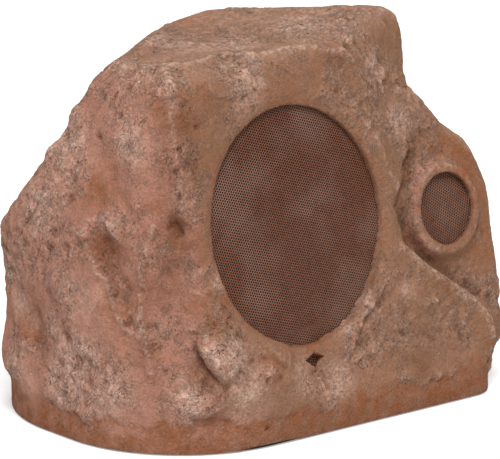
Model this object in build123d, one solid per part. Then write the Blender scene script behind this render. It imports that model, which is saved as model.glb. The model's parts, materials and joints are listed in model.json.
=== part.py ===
from build123d import *
import math
import os

# All lengths are in millimetres and all angles in degrees.
# The origin is the middle of the base plate's underside, with +Z up and the loudspeaker facing -Y.
# A bearing of 0 faces the front, 90 the right side, -90 the left side and 180 the back.
# A lean is how far a facet's outward direction tips up from level.

# Footprint and the smooth band at the foot of the rock
FOOT_WIDTH = 394.0
FOOT_DEPTH = 314.0
FRONT_LEFT_RADIUS = 120.0
FRONT_RIGHT_RADIUS = 35.0
BACK_RIGHT_RADIUS = 90.0
BACK_LEFT_RADIUS = 150.0
BAND_TOP = 38.0
SHELL_FOOT = 0.6
WALL = 8.0
CAVITY_OVERLAP = 0.5
QUARRY_SIZE = 1200.0
THROUGH = 60.0
QUARTER_TURN = 90
HALF_TURN = 180
HEXAGON = 6
STAGGER = 60.0

# Front face and the two loudspeaker axes
FRONT_LEAN = 9.2
WOOFER_AT = (-26.0, -129.5, 181.0)
TWEETER_OFFSET = (175.3, -11.3)
SHOULDER_SETBACK = 14.0

# Facets of the main boulder, each as bearing, lean and a point on it
MAIN_FACETS = (
    (20.0, 14.6, (64.0, -114.0, 275.0)),
    (70.0, -11.0, (100.0, -128.0, 172.0)),
    (100.0, 12.0, (166.0, 0.0, 290.0)),
    (-45.0, 81.0, (-50.0, -107.0, 319.0)),
    (-130.4, 68.0, (-78.1, 66.5, 325.0)),
    (-50.0, 4.5, (-146.0, -124.0, 215.0)),
    (-88.0, 0.0, (-197.0, 0.0, 100.0)),
    (-83.8, 16.1, (-148.0, -108.0, 315.0)),
    (-135.0, 33.8, (-177.5, 7.7, 252.0)),
    (-138.0, 50.0, (-98.0, 20.0, 311.0)),
    (-130.4, 0.0, (-146.5, 124.5, 100.0)),
    (-112.0, -22.0, (-188.0, 75.0, 38.0)),
    (180.0, 20.0, (0.0, 150.0, 60.0)),
    (140.0, 20.0, (120.0, 100.0, 60.0)),
)
# Facets of the shoulder that carries the tweeter
SHOULDER_FACETS = (
    (50.0, 64.0, (172.5, -107.0, 229.5)),
    (80.0, 31.0, (201.0, -106.0, 209.0)),
    (84.0, 13.0, (218.0, -110.0, 170.0)),
    (92.0, 2.0, (219.0, -125.0, 100.0)),
    (92.0, -26.0, (218.0, -128.0, 67.0)),
    (95.0, 48.0, (142.0, -60.0, 275.0)),
    (0.0, 90.0, (0.0, 0.0, 288.0)),
    (122.0, 16.0, (178.8, 111.8, 60.0)),
    (152.0, 20.0, (90.3, 169.9, 60.0)),
    (180.0, 20.0, (0.0, 150.0, 60.0)),
    (-90.0, 0.0, (20.0, 0.0, 100.0)),
)
# Facets of the flank that falls from the main boulder onto the shoulder
FLANK_FACETS = (
    (50.0, 40.5, (168.0, -107.0, 230.0)),
    (95.0, 48.0, (142.0, -60.0, 275.0)),
    (100.0, 0.0, (196.0, 0.0, 100.0)),
    (180.0, 20.0, (0.0, 140.0, 60.0)),
    (-90.0, 0.0, (30.0, 0.0, 100.0)),
    (0.0, 90.0, (0.0, 0.0, 288.0)),
)
# Facets of the toe below the shoulder, with the long ridge falling to the right
TOE_FACETS = (
    (75.0, 54.6, (80.0, -136.0, 149.0)),
    (62.0, 4.0, (195.0, -148.0, 67.0)),
    (92.0, 2.0, (215.0, -125.0, 100.0)),
    (92.0, -26.0, (214.0, -128.0, 67.0)),
    (-90.0, 0.0, (0.0, 0.0, 100.0)),
    (180.0, 0.0, (0.0, -50.0, 100.0)),
)
# Facets of the low apron in front of the woofer's left side
APRON_FACETS = (
    (-3.0, 0.0, (-95.0, -155.0, 60.0)),
    (0.0, 50.0, (-95.0, -152.0, 84.0)),
    (55.0, 30.0, (-48.0, -150.0, 66.0)),
    (-58.0, 8.0, (-150.0, -128.0, 66.0)),
    (180.0, 0.0, (0.0, -130.0, 60.0)),
)

# Scoops where flakes broke away, each as bearing, lean, a point on the facet it is struck from,
# the turn of its long way from upright, and its length, width and depth
SCOOPS = (
    (-67.0, 10.0, (-190.0, -78.0, 153.0), 20.0, 130.0, 46.0, 9.0),
    (-75.0, 14.0, (-178.0, -66.0, 227.0), 33.0, 105.0, 46.0, 7.5),
    (-50.0, 4.0, (-152.0, -119.0, 191.0), 0.0, 42.0, 34.0, 8.0),
    (-50.0, 4.0, (-160.0, -120.0, 124.0), -10.0, 115.0, 46.0, 7.0),
    (-88.0, 0.0, (-197.5, 14.0, 88.0), 15.0, 80.0, 34.0, 6.0),
    (-110.0, 0.0, (-199.0, 45.0, 106.0), 0.0, 120.0, 80.0, 9.0),
    (-38.0, 5.0, (-148.0, -138.0, 78.0), 27.0, 80.0, 28.0, 8.0),
    (180.0, 20.0, (-62.0, 112.0, 165.0), 25.0, 170.0, 110.0, 10.0),
    (180.0, 20.0, (85.0, 99.0, 200.0), -20.0, 165.0, 105.0, 9.0),
    (122.0, 16.0, (182.0, 63.4, 140.0), 10.0, 160.0, 110.0, 10.0),
    (92.0, 2.0, (215.0, -30.0, 125.0), -25.0, 130.0, 90.0, 8.0),
    (-130.4, 0.0, (-157.0, 112.0, 122.0), 12.0, 150.0, 100.0, 10.0),
    (-135.0, 33.8, (-135.0, 45.0, 258.0), 60.0, 175.0, 100.0, 9.0),
    (-45.0, 81.0, (-25.0, -22.0, 331.5), 50.0, 150.0, 90.0, 6.0),
)

# Weathering of the rock's edges
MAIN_WEATHER = 24.0
SHOULDER_WEATHER = 12.0
TOE_WEATHER = 16.0
WEATHER_SHARPEST = 1.2
WEATHER_FLATTEST = 1.97

# Grilles and the openings they cover
OPENING_HALF_WIDTH = 95.0
OPENING_HALF_HEIGHT = 102.0
RIM_DEPTH = 5.0
GRILLE_THICK = 1.2
GRILLE_MARGIN = 6.0
GRILLE_PITCH = 18.0
GRILLE_HOLE = 13.0
GRILLE_BORDER = 8.0
REBATE_CLEARANCE = 0.4
DRAIN_AT = (-2.7, -117.3)
DRAIN_SIDES = (10.5, 12.5)
DRAIN_TURN = -27.0
DRAIN_HOLE = 6.0
DRAIN_CHANNEL = 12.0
TAB_WIDTH = 30.0
TAB_HEAD = -80.0
TAB_FOOT = -131.0
TAB_CORNER = 6.0

# Baffle board behind the grille
BAFFLE_EDGE = 4.0
BAFFLE_THICK = 12.0

# Woofer, measured along its axis inward from the rock's front face
FRAME_RADIUS = 102.0
FLANGE_WIDTH = 14.0
FRAME_THICK = 2.0
FRAME_BOLT_INSET = 4.5
FRAME_SCREWS = 6
WOOFER_GASKET_WIDTH = 8.6
WOOFER_GASKET_THICK = 4.0
WOOFER_SCREW_BITE = 9.0
SPIDER_SHELF = 80.0
SHELF_OUTER = 62.0
SHELF_INNER = 52.0
BASKET_SEAT = 94.0
BASKET_SEAT_BORE = 24.0
BASKET_SLANT = 1.4
BASKET_WINDOWS = 6
WINDOW_NEAR = 36.0
WINDOW_FAR = 72.0
WINDOW_WIDE = 56.0
WINDOW_NARROW = 40.0
PLATE_THICK = 6.0
PLATE_RADIUS = 50.0
MAGNET_THICK = 18.0
MAGNET_RADIUS = 55.0
MAGNET_BORE = 32.0
POLE_RADIUS = 17.9
POLE_VENT = 5.0
GAP_RADIUS = 20.7
FORMER_INNER = 18.5
FORMER_OUTER = 19.0
FORMER_FRONT = 67.0
FORMER_BACK = 106.0
COIL_OUTER = 20.0
COIL_LENGTH = 12.0
GLUE_GAP = 0.1
CONE_THICK = 1.0
CONE_NECK = 69.5
CAP_RADIUS = 30.0
CAP_RISE = 10.0
CAP_THICK = 0.7
ROLL_WIDTH = 10.0
GLUE_WIDTH = 4.0
SURROUND_GAP = 0.4
SURROUND_THICK = 0.8
SPIDER_THICK = 0.6
SPIDER_OUTER = 59.0
SPIDER_LANDING = 49.5
SPIDER_WAVES = 5
SPIDER_WAVE_DEPTH = 2.4

# Tweeter, measured along its axis outward from the shoulder's front face
COLLAR_HEIGHT = 10.0
COLLAR_ROOT = 4.0
COLLAR_FOOT_RADIUS = 47.0
COLLAR_CREST_RADIUS = 39.0
COLLAR_SOFTEN = 2.5
TWEETER_OPENING = 32.5
TWEETER_SEAT_RADIUS = 36.0
TWEETER_MESH_FACE = 6.0
TWEETER_GRILLE_PITCH = 9.5
TWEETER_GRILLE_HOLE = 6.6
TWEETER_GASKET_THICK = 2.0
FLARE_RADIUS = 27.0
THROAT_RADIUS = 14.5
DIAPHRAGM_SEAT = 19.6
DIAPHRAGM_RECESS = 1.0
DOME_RADIUS = 12.6
DOME_RISE = 4.7
DIAPHRAGM_THICK = 0.4
DIAPHRAGM_ROLL = 1.0
TWEETER_COIL_THICK = 0.5
TWEETER_COIL_LENGTH = 3.0
TWEETER_GAP_RADIUS = 13.8
TWEETER_POLE_RADIUS = 12.2
TWEETER_PLATE_RADIUS = 27.0
TWEETER_PLATE_THICK = 4.0
TWEETER_MAGNET_RADIUS = 30.0
TWEETER_MAGNET_BORE = 16.0
TWEETER_MAGNET_THICK = 10.0
CLAMP_INNER = 32.0
CLAMP_OUTER = 42.5
CLAMP_THICK = 4.0
CLAMP_BOLT_RADIUS = 39.7
CLAMP_SCREWS = 4
CLAMP_SCREW_BITE = 8.0

# Base plate, its gasket and its screws
BASE_THICK = 6.0
BASE_LIP = 4.0
BASE_CLEARANCE = 0.5
BASE_GASKET_THICK = 2.0
SEAT_WIDTH = 18.0
SEAT_THICK = 8.0
SEAT_SCREW_INSET = 13.0
BOSS_RADIUS = 6.0
BOSS_HEIGHT = 12.0
BASE_SCREWS = 8
BASE_SCREW_LENGTH = 22.0

# Screws, given as shank radius, head radius and head height
SMALL_SCREW = (1.9, 3.8, 2.6)
BOARD_SCREW = (1.4, 2.8, 2.0)
HEAD_SHOULDER = 0.6
SCREW_CLEARANCE = 0.4
PILOT_CLEARANCE = 0.05
PILOT_SPARE = 1.0

# Cable entry through the back
GLAND_AT = (-20.0, 146.0, 75.0)
GLAND_PAD_RADIUS = 17.0
GLAND_PAD_THICK = 12.0
GLAND_THREAD_RADIUS = 7.6
GLAND_BORE_RADIUS = 4.0
GLAND_HEX = 20.0
GLAND_HEX_THICK = 5.0
GLAND_NUT_HEX = 22.0
GLAND_NUT_THICK = 5.0
GLAND_TAIL = 4.0
GLAND_NECK = 9.0
GLAND_CAP_RADIUS = 10.5
GLAND_CAP_END = 5.0
GLAND_CAP_CHAMFER = 2.5
GLAND_CAP_RIBS = 12
GLAND_RIB_GROOVE = 1.0
GLAND_SEAL_RADIUS = 6.2
GLAND_SEAL_LENGTH = 5.0
GLAND_FIT = 0.3

# Crossover board standing on posts of the base plate
BOARD_AT = (20.0, 50.0)
BOARD_LENGTH = 110.0
BOARD_WIDTH = 76.0
BOARD_THICK = 1.6
BOARD_HOLE_INSET = 6.0
POST_RADIUS = 3.5
POST_HEIGHT = 8.0
BOARD_SCREW_LENGTH = 7.0
WOOFER_COIL_AT = (49.0, 33.0)
WOOFER_COIL_SIZE = (17.0, 20.0)
TWEETER_COIL_AT = (52.0, 68.0)
TWEETER_COIL_SIZE = (12.0, 15.0)
BOBBIN_FLANGE = 1.5
BOBBIN_BORE = 0.45
CAPACITOR_AT = (5.0, 67.0)
CAPACITOR_RADIUS = 8.0
CAPACITOR_LENGTH = 32.0
CAPACITOR_SPACING = 18.0
RESISTOR_AT = (14.0, 42.0)
RESISTOR_SIZE = (26.0, 8.0, 9.0)
BLOCK_Y = 30.0
BLOCK_SIZE = (34.0, 11.0, 13.0)
BLOCK_WAYS = 4
BLOCK_HOLE_DEPTH = 6.0

# Solder strips on the two drivers and the two internal leads
STRIP_SIZE = (22.0, 9.0, 2.0)
STRIP_RADIUS = 57.0
SPADE_SIZE = (4.8, 0.8, 8.0)
SPADE_SPACING = 12.0
LEAD_RADIUS = 1.8
LEAD_BEND = 14.0
LEAD_GAP = 0.3
LEAD_STUB = 26.0
LEAD_DROP = 40.0


# Facets: a facet becomes an outward direction and the distance of its plane from the origin
def facet(bearing, lean, through):
    level = math.cos(math.radians(lean))
    across = math.sin(math.radians(bearing)) * level
    ahead = -math.cos(math.radians(bearing)) * level
    normal = Vector(across, ahead, math.sin(math.radians(lean)))
    return normal, normal.dot(Vector(*through))


# Weathering takes the edge between two facets back to where a rounded edge would lie
def weathered(facets, radius):
    planes = list(facets)
    for i, (first, first_reach) in enumerate(facets):
        for second, second_reach in facets[i + 1:]:
            both = first + second
            size = both.length
            if WEATHER_SHARPEST < size < WEATHER_FLATTEST:
                worn = radius * (2 / size - 1)
                planes.append((both.normalized(), (first_reach + second_reach) / size - worn))
    return planes


# A boulder is a block with everything outside its facets hewn away
def boulder(planes, inset, floor):
    block = slab(Rectangle(QUARRY_SIZE, QUARRY_SIZE), floor, QUARRY_SIZE)
    for normal, reach in planes:
        cut = Plane(origin=normal * (reach - inset), z_dir=normal)
        kept = block.split(cut, keep=Keep.BOTTOM)
        block = kept if kept is not None else block
    return block


# A scoop is gouged by a spindle as curved along and across as its length, width and depth ask
def scoop(bearing, lean, through, turn, length, width, depth, grown):
    across = ((width / 2) ** 2 + depth ** 2) / (2 * depth)
    along = ((length / 2) ** 2 + depth ** 2) / (2 * depth)
    middle = across + grown
    tip = math.sqrt((along + grown) ** 2 - (along - across) ** 2)
    spindle = spun(ThreePointArc((0, -tip), (middle, 0), (0, tip)), Line((0, tip), (0, -tip)))
    normal = facet(bearing, lean, through)[0]
    level = (math.cos(math.radians(bearing)), math.sin(math.radians(bearing)), 0)
    place = Plane(origin=Vector(*through) + normal * (across - depth), x_dir=level, z_dir=normal)
    return place * Rot(0, 0, turn) * Rot(-QUARTER_TURN, 0, 0) * spindle


def slab(sketch, bottom, top):
    return extrude(Pos(0, 0, bottom) * sketch, top - bottom)


def footprint(inset):
    outline = Rectangle(FOOT_WIDTH, FOOT_DEPTH)
    corners = (
        (-FOOT_WIDTH, -FOOT_DEPTH, FRONT_LEFT_RADIUS),
        (FOOT_WIDTH, -FOOT_DEPTH, FRONT_RIGHT_RADIUS),
        (FOOT_WIDTH, FOOT_DEPTH, BACK_RIGHT_RADIUS),
        (-FOOT_WIDTH, FOOT_DEPTH, BACK_LEFT_RADIUS),
    )
    for x, y, radius in corners:
        corner = outline.vertices().sort_by_distance((x, y, 0))[0]
        outline = fillet(corner, radius)
    return offset(outline, -inset) if inset else outline


# Turned pieces are half sections of (radius, height) points spun about the axis
def turned(points):
    section = make_face(Polyline(*[(radius, 0, height) for radius, height in points], close=True))
    return revolve(section, Axis.Z)


def spun(*curves):
    return revolve(Plane.XZ * make_face(Curve() + list(curves)), Axis.Z)


def ring(inner, outer, bottom, top):
    return turned([(inner, bottom), (outer, bottom), (outer, top), (inner, top)])


# Sections given by depth behind a face, deeper being more negative
def sunk(points):
    return turned([(radius, -depth) for radius, depth in points])


def pan_screw(sizes, length):
    shank, head, height = sizes
    crown = head * HEAD_SHOULDER
    edge = height * HEAD_SHOULDER
    return turned([(0, -length), (shank, -length), (shank, 0), (head, 0),
                   (head, edge), (crown, height), (0, height)])


def countersunk_screw(sizes, length):
    shank, head, height = sizes
    return turned([(0, 0), (head, 0), (shank, height), (shank, length), (0, length)])


def drilled(sizes, gap, bottom, top):
    return ring(0, sizes[0] + gap, bottom, top)


def group(solids):
    return Compound(children=list(solids))


# Holes in staggered rows sixty degrees apart, kept where the opening lies
def perforated(sheet, half_width, half_height, pitch, hole):
    spots = []
    step = pitch * math.sin(math.radians(STAGGER))
    rows = math.ceil(half_height / step)
    columns = math.ceil(half_width / pitch)
    for row in range(-rows, rows + 1):
        for column in range(-columns, columns + 1):
            x = (column + (row % 2) / 2) * pitch
            y = row * step
            if (x / half_width) ** 2 + (y / half_height) ** 2 < 1:
                spots.append(Pos(x, y) * RegularPolygon(hole / 2, HEXAGON, rotation=STAGGER / 2))
    return sheet - spots


# A lead runs straight between its points and bends at each of them
def lead(points):
    points = [Vector(*point) for point in points]
    runs = []
    start = points[0]
    for before, corner, after in zip(points, points[1:], points[2:]):
        into = (corner - before).normalized()
        onward = (after - corner).normalized()
        half = math.radians(into.get_angle(onward)) / 2
        toward = (onward - into).normalized()
        bend_in = corner - into * (LEAD_BEND * math.tan(half))
        bend_out = corner + onward * (LEAD_BEND * math.tan(half))
        crown = corner + toward * (LEAD_BEND / math.cos(half) - LEAD_BEND)
        runs.append(Line(start, bend_in))
        runs.append(ThreePointArc(bend_in, crown, bend_out))
        start = bend_out
    runs.append(Line(start, points[-1]))
    path = Wire(runs)
    end_face = Plane(origin=points[0], z_dir=points[1] - points[0]) * Circle(LEAD_RADIUS)
    return sweep(end_face, path)


# A solder strip with two spades standing on it, seated at height zero
def solder_strip():
    length, width, thick = STRIP_SIZE
    strip = slab(Rectangle(length, width), 0, thick)
    for side in (-SPADE_SPACING / 2, SPADE_SPACING / 2):
        strip += slab(Pos(side, 0) * Rectangle(SPADE_SIZE[0], SPADE_SIZE[1]), thick, thick + SPADE_SIZE[2])
    return strip


# The two loudspeaker axes point out of the rock, with local x to the right and local y up the face
front = facet(0, FRONT_LEAN, WOOFER_AT)
woofer_axis = Plane(origin=WOOFER_AT, x_dir=(1, 0, 0), z_dir=front[0])
tweeter_at = woofer_axis.from_local_coords(Vector(*TWEETER_OFFSET, -SHOULDER_SETBACK))
tweeter_axis = Plane(origin=tweeter_at, x_dir=(1, 0, 0), z_dir=front[0])
gland_axis = Plane(origin=GLAND_AT, x_dir=(1, 0, 0), z_dir=(0, 1, 0))
inward = Rot(HALF_TURN, 0, 0)

# Outlines drawn on the front face
opening = Ellipse(OPENING_HALF_WIDTH, OPENING_HALF_HEIGHT)
drain = Pos(*DRAIN_AT) * Rot(0, 0, DRAIN_TURN) * Rectangle(*DRAIN_SIDES)


def face_outline(margin):
    grown = margin - GRILLE_MARGIN
    tab = RectangleRounded(TAB_WIDTH + 2 * grown, TAB_HEAD - TAB_FOOT + 2 * grown, TAB_CORNER)
    disc = Ellipse(OPENING_HALF_WIDTH + margin, OPENING_HALF_HEIGHT + margin)
    return disc + Pos(DRAIN_AT[0], (TAB_HEAD + TAB_FOOT) / 2) * tab


# Radii of the woofer's rings, stepping inward from the frame's edge
frame_inner = FRAME_RADIUS - FLANGE_WIDTH
frame_bolts = FRAME_RADIUS - FRAME_BOLT_INSET
gasket_inner = FRAME_RADIUS - WOOFER_GASKET_WIDTH
surround_outer = gasket_inner - SURROUND_GAP
roll_outer = surround_outer - GLUE_WIDTH
lip_outer = roll_outer - ROLL_WIDTH
lip_inner = lip_outer - GLUE_WIDTH
baffle_margin = FRAME_RADIUS + BAFFLE_EDGE - OPENING_HALF_WIDTH

# Heights that the seated pieces share
seat_bottom = BASE_THICK + BASE_GASKET_THICK
seat_top = seat_bottom + SEAT_THICK
boss_top = seat_top + BOSS_HEIGHT
seat_line = footprint(SEAT_SCREW_INSET).wire()
screw_spots = [Pos(*(seat_line @ ((2 * i + 1) / (2 * BASE_SCREWS)))) for i in range(BASE_SCREWS)]
clamp_spots = PolarLocations(CLAMP_BOLT_RADIUS, CLAMP_SCREWS, start_angle=HALF_TURN / CLAMP_SCREWS)
frame_spots = PolarLocations(frame_bolts, FRAME_SCREWS)
post_spots = Pos(*BOARD_AT) * GridLocations(
    BOARD_LENGTH - 2 * BOARD_HOLE_INSET, BOARD_WIDTH - 2 * BOARD_HOLE_INSET, 2, 2)
nodes = {}

# Rock shell: boulders fused over the band, scooped, and hollowed to one wall thickness
shoulder_front = facet(0, FRONT_LEAN, tweeter_at)
main_planes = weathered([front] + [facet(*row) for row in MAIN_FACETS], MAIN_WEATHER)
shoulder_planes = weathered([shoulder_front] + [facet(*row) for row in SHOULDER_FACETS], SHOULDER_WEATHER)
flank_planes = weathered([shoulder_front] + [facet(*row) for row in FLANK_FACETS], SHOULDER_WEATHER)
toe_planes = weathered([front] + [facet(*row) for row in TOE_FACETS], TOE_WEATHER)
apron_planes = weathered([facet(*row) for row in APRON_FACETS], TOE_WEATHER)
shell = slab(footprint(0), SHELL_FOOT, BAND_TOP)
hollow = slab(footprint(WALL), SHELL_FOOT, BAND_TOP - WALL)
throat = BAND_TOP - WALL - CAVITY_OVERLAP
for planes in (main_planes, shoulder_planes, flank_planes, toe_planes):
    shell += boulder(planes, 0, BAND_TOP)
    hollow += boulder(planes, WALL, throat)
hollow -= slab(Rectangle(QUARRY_SIZE, QUARRY_SIZE) - footprint(WALL), throat, BAND_TOP + WALL)
shell += boulder(apron_planes, 0, BAND_TOP)
for row in SCOOPS:
    shell -= scoop(*row, 0)
    hollow -= scoop(*row, WALL)
shell -= hollow

# Seat for the base plate, with a boss over every screw
seat = slab(footprint(BASE_LIP) - footprint(BASE_LIP + SEAT_WIDTH), seat_bottom, seat_top)
shell += seat
shell += [spot * ring(0, BOSS_RADIUS, seat_bottom, boss_top) for spot in screw_spots]
shell -= slab(footprint(BASE_LIP), SHELL_FOOT, seat_bottom)
pilot_top = BASE_SCREW_LENGTH + PILOT_SPARE
shell -= [spot * drilled(SMALL_SCREW, PILOT_CLEARANCE, seat_bottom, pilot_top) for spot in screw_spots]

# Woofer opening, drain window and the rebate for the grille
shell -= woofer_axis * slab(opening + drain, -RIM_DEPTH, THROUGH)
shell -= woofer_axis * slab(face_outline(GRILLE_MARGIN + REBATE_CLEARANCE), -WALL - PILOT_SPARE, -RIM_DEPTH)
shell -= woofer_axis * slab(face_outline(baffle_margin + REBATE_CLEARANCE), -THROUGH, -WALL)

# Tweeter collar and its stepped bore
crest = COLLAR_HEIGHT
collar = turned([(0, -COLLAR_ROOT), (COLLAR_FOOT_RADIUS, -COLLAR_ROOT), (COLLAR_FOOT_RADIUS, 0),
                 (COLLAR_CREST_RADIUS, crest), (0, crest)])
collar = fillet(collar.edges().filter_by(GeomType.CIRCLE).group_by(Axis.Z)[-1], COLLAR_SOFTEN)
shell += tweeter_axis * collar
shell -= tweeter_axis * ring(0, TWEETER_OPENING, 0, crest)
shell -= tweeter_axis * ring(0, TWEETER_SEAT_RADIUS, -WALL - PILOT_SPARE, TWEETER_MESH_FACE)
shell -= tweeter_axis * ring(0, CLAMP_OUTER + REBATE_CLEARANCE, -THROUGH, -WALL)
clamp_pilot = drilled(SMALL_SCREW, PILOT_CLEARANCE, -WALL, CLAMP_SCREW_BITE + PILOT_SPARE - WALL)
shell -= [tweeter_axis * spot * clamp_pilot for spot in clamp_spots]

# Flat pad and hole for the cable gland
shell += gland_axis * ring(0, GLAND_PAD_RADIUS, -GLAND_PAD_THICK, 0)
shell -= gland_axis * ring(0, GLAND_PAD_RADIUS, 0, THROUGH)
shell -= gland_axis * ring(0, GLAND_PAD_RADIUS, -GLAND_PAD_THICK - THROUGH, -GLAND_PAD_THICK)
shell -= gland_axis * ring(0, GLAND_THREAD_RADIUS + GLAND_FIT, -GLAND_PAD_THICK, 0)
nodes["rock_shell"] = shell

# Base plate with the crossover posts, its gasket and its screws
inset = BASE_LIP + BASE_CLEARANCE
base_plate = slab(footprint(inset), 0, BASE_THICK)
base_plate += [spot * ring(0, POST_RADIUS, BASE_THICK, BASE_THICK + POST_HEIGHT) for spot in post_spots]
post_top = BASE_THICK + POST_HEIGHT
board_top = post_top + BOARD_THICK
board_pilot = drilled(BOARD_SCREW, PILOT_CLEARANCE, board_top - BOARD_SCREW_LENGTH - PILOT_SPARE, post_top)
base_plate -= [spot * board_pilot for spot in post_spots]
sink = countersunk_screw([size + SCREW_CLEARANCE for size in SMALL_SCREW], seat_bottom)
base_plate -= [spot * sink for spot in screw_spots]
nodes["base_plate"] = base_plate
gasket_band = footprint(inset + BASE_CLEARANCE) - footprint(BASE_LIP + SEAT_WIDTH)
base_gasket = slab(gasket_band, BASE_THICK, seat_bottom)
base_gasket -= [spot * drilled(SMALL_SCREW, SCREW_CLEARANCE, BASE_THICK, seat_bottom) for spot in screw_spots]
nodes["base_gasket"] = base_gasket
nodes["base_screws"] = group(spot * countersunk_screw(SMALL_SCREW, BASE_SCREW_LENGTH) for spot in screw_spots)

# Cable gland: body, lock nut, rubber seal and compression cap
neck_end = GLAND_HEX_THICK + GLAND_NECK
tail_end = -GLAND_PAD_THICK - GLAND_NUT_THICK - GLAND_TAIL
gland_body = slab(RegularPolygon(GLAND_HEX / 2, HEXAGON, major_radius=False), 0, GLAND_HEX_THICK)
gland_body += ring(0, GLAND_THREAD_RADIUS, tail_end, neck_end)
gland_body -= ring(0, GLAND_BORE_RADIUS, tail_end, neck_end)
gland_body -= ring(0, GLAND_SEAL_RADIUS, neck_end - GLAND_SEAL_LENGTH, neck_end)
nodes["cable_gland_body"] = gland_axis * gland_body
gland_nut = slab(RegularPolygon(GLAND_NUT_HEX / 2, HEXAGON, major_radius=False),
                 -GLAND_PAD_THICK - GLAND_NUT_THICK, -GLAND_PAD_THICK)
gland_nut -= ring(0, GLAND_THREAD_RADIUS + GLAND_FIT, -GLAND_PAD_THICK - GLAND_NUT_THICK, -GLAND_PAD_THICK)
nodes["cable_gland_nut"] = gland_axis * gland_nut
seal = ring(GLAND_BORE_RADIUS, GLAND_SEAL_RADIUS - GLAND_FIT, neck_end - GLAND_SEAL_LENGTH, neck_end)
nodes["cable_gland_seal"] = gland_axis * seal
cap_end = neck_end + GLAND_CAP_END
gland_cap = turned([
    (GLAND_BORE_RADIUS, neck_end + GLAND_FIT),
    (GLAND_BORE_RADIUS, cap_end),
    (GLAND_CAP_RADIUS - GLAND_CAP_CHAMFER, cap_end),
    (GLAND_CAP_RADIUS, cap_end - GLAND_CAP_CHAMFER),
    (GLAND_CAP_RADIUS, GLAND_HEX_THICK + GLAND_FIT),
    (GLAND_THREAD_RADIUS + GLAND_FIT, GLAND_HEX_THICK + GLAND_FIT),
    (GLAND_THREAD_RADIUS + GLAND_FIT, neck_end + GLAND_FIT),
])
rib_spots = PolarLocations(GLAND_CAP_RADIUS, GLAND_CAP_RIBS)
gland_cap -= [spot * ring(0, GLAND_RIB_GROOVE, 0, cap_end) for spot in rib_spots]
nodes["cable_gland_cap"] = gland_axis * gland_cap

# Woofer grille, its gasket and the baffle board
grille_back = RIM_DEPTH + GRILLE_THICK
grille_sheet = face_outline(GRILLE_MARGIN) - Pos(*DRAIN_AT) * RegularPolygon(DRAIN_HOLE / 2, HEXAGON)
grille_sheet = perforated(grille_sheet, OPENING_HALF_WIDTH - GRILLE_BORDER,
                          OPENING_HALF_HEIGHT - GRILLE_BORDER, GRILLE_PITCH, GRILLE_HOLE)
nodes["woofer_grille"] = woofer_axis * slab(grille_sheet, -grille_back, -RIM_DEPTH)
channel = Pos(DRAIN_AT[0], (TAB_HEAD + DRAIN_AT[1]) / 2) * Rectangle(DRAIN_CHANNEL, TAB_HEAD - DRAIN_AT[1])
channel += Pos(*DRAIN_AT) * Circle(math.hypot(*DRAIN_SIDES) / 2)
grille_gasket = face_outline(GRILLE_MARGIN) - opening - channel
nodes["woofer_grille_gasket"] = woofer_axis * slab(grille_gasket, -WALL, -grille_back)
baffle_back = WALL + BAFFLE_THICK
baffle = slab(face_outline(baffle_margin) - Circle(gasket_inner), -baffle_back, -WALL)
pilot_end = WOOFER_SCREW_BITE + PILOT_SPARE - baffle_back
baffle_pilot = drilled(SMALL_SCREW, PILOT_CLEARANCE, -baffle_back, pilot_end)
baffle -= [spot * baffle_pilot for spot in frame_spots]
nodes["woofer_baffle"] = woofer_axis * baffle

# Woofer frame, gasket and screws
frame_face = baffle_back + WOOFER_GASKET_THICK
frame_back = frame_face + FRAME_THICK
frame_hole = drilled(SMALL_SCREW, SCREW_CLEARANCE, -frame_back, -baffle_back)
frame_holes = [spot * frame_hole for spot in frame_spots]
woofer_gasket = ring(gasket_inner, FRAME_RADIUS, -frame_face, -baffle_back)
nodes["woofer_gasket"] = woofer_axis * (woofer_gasket - frame_holes)
basket = sunk([
    (frame_inner, frame_face),
    (FRAME_RADIUS, frame_face),
    (FRAME_RADIUS, frame_back),
    (frame_inner + BASKET_SLANT, frame_back),
    (SHELF_OUTER, SPIDER_SHELF + FRAME_THICK),
    (SHELF_INNER, SPIDER_SHELF + FRAME_THICK),
    (SHELF_INNER, BASKET_SEAT),
    (BASKET_SEAT_BORE, BASKET_SEAT),
    (BASKET_SEAT_BORE, BASKET_SEAT - FRAME_THICK),
    (SHELF_INNER - FRAME_THICK, BASKET_SEAT - FRAME_THICK),
    (SHELF_INNER - FRAME_THICK, SPIDER_SHELF),
    (SHELF_OUTER - BASKET_SLANT, SPIDER_SHELF),
])
window = Polyline(
    (-WINDOW_NEAR, -WINDOW_WIDE / 2), (-WINDOW_NEAR, WINDOW_WIDE / 2),
    (-WINDOW_FAR, WINDOW_NARROW / 2), (-WINDOW_FAR, -WINDOW_NARROW / 2), close=True)
window_face = Plane(origin=(SHELF_INNER, 0, 0), x_dir=(0, 0, 1), z_dir=(1, 0, 0)) * make_face(window)
window_cut = extrude(window_face, FRAME_RADIUS)
window_spots = PolarLocations(0, BASKET_WINDOWS, start_angle=HALF_TURN / BASKET_WINDOWS)
basket -= [spot * window_cut for spot in window_spots]
nodes["woofer_basket"] = woofer_axis * (basket - frame_holes)
woofer_screw = pan_screw(SMALL_SCREW, FRAME_THICK + WOOFER_GASKET_THICK + WOOFER_SCREW_BITE)
nodes["woofer_screws"] = group(
    woofer_axis * spot * Pos(0, 0, -frame_back) * inward * woofer_screw for spot in frame_spots)

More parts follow.
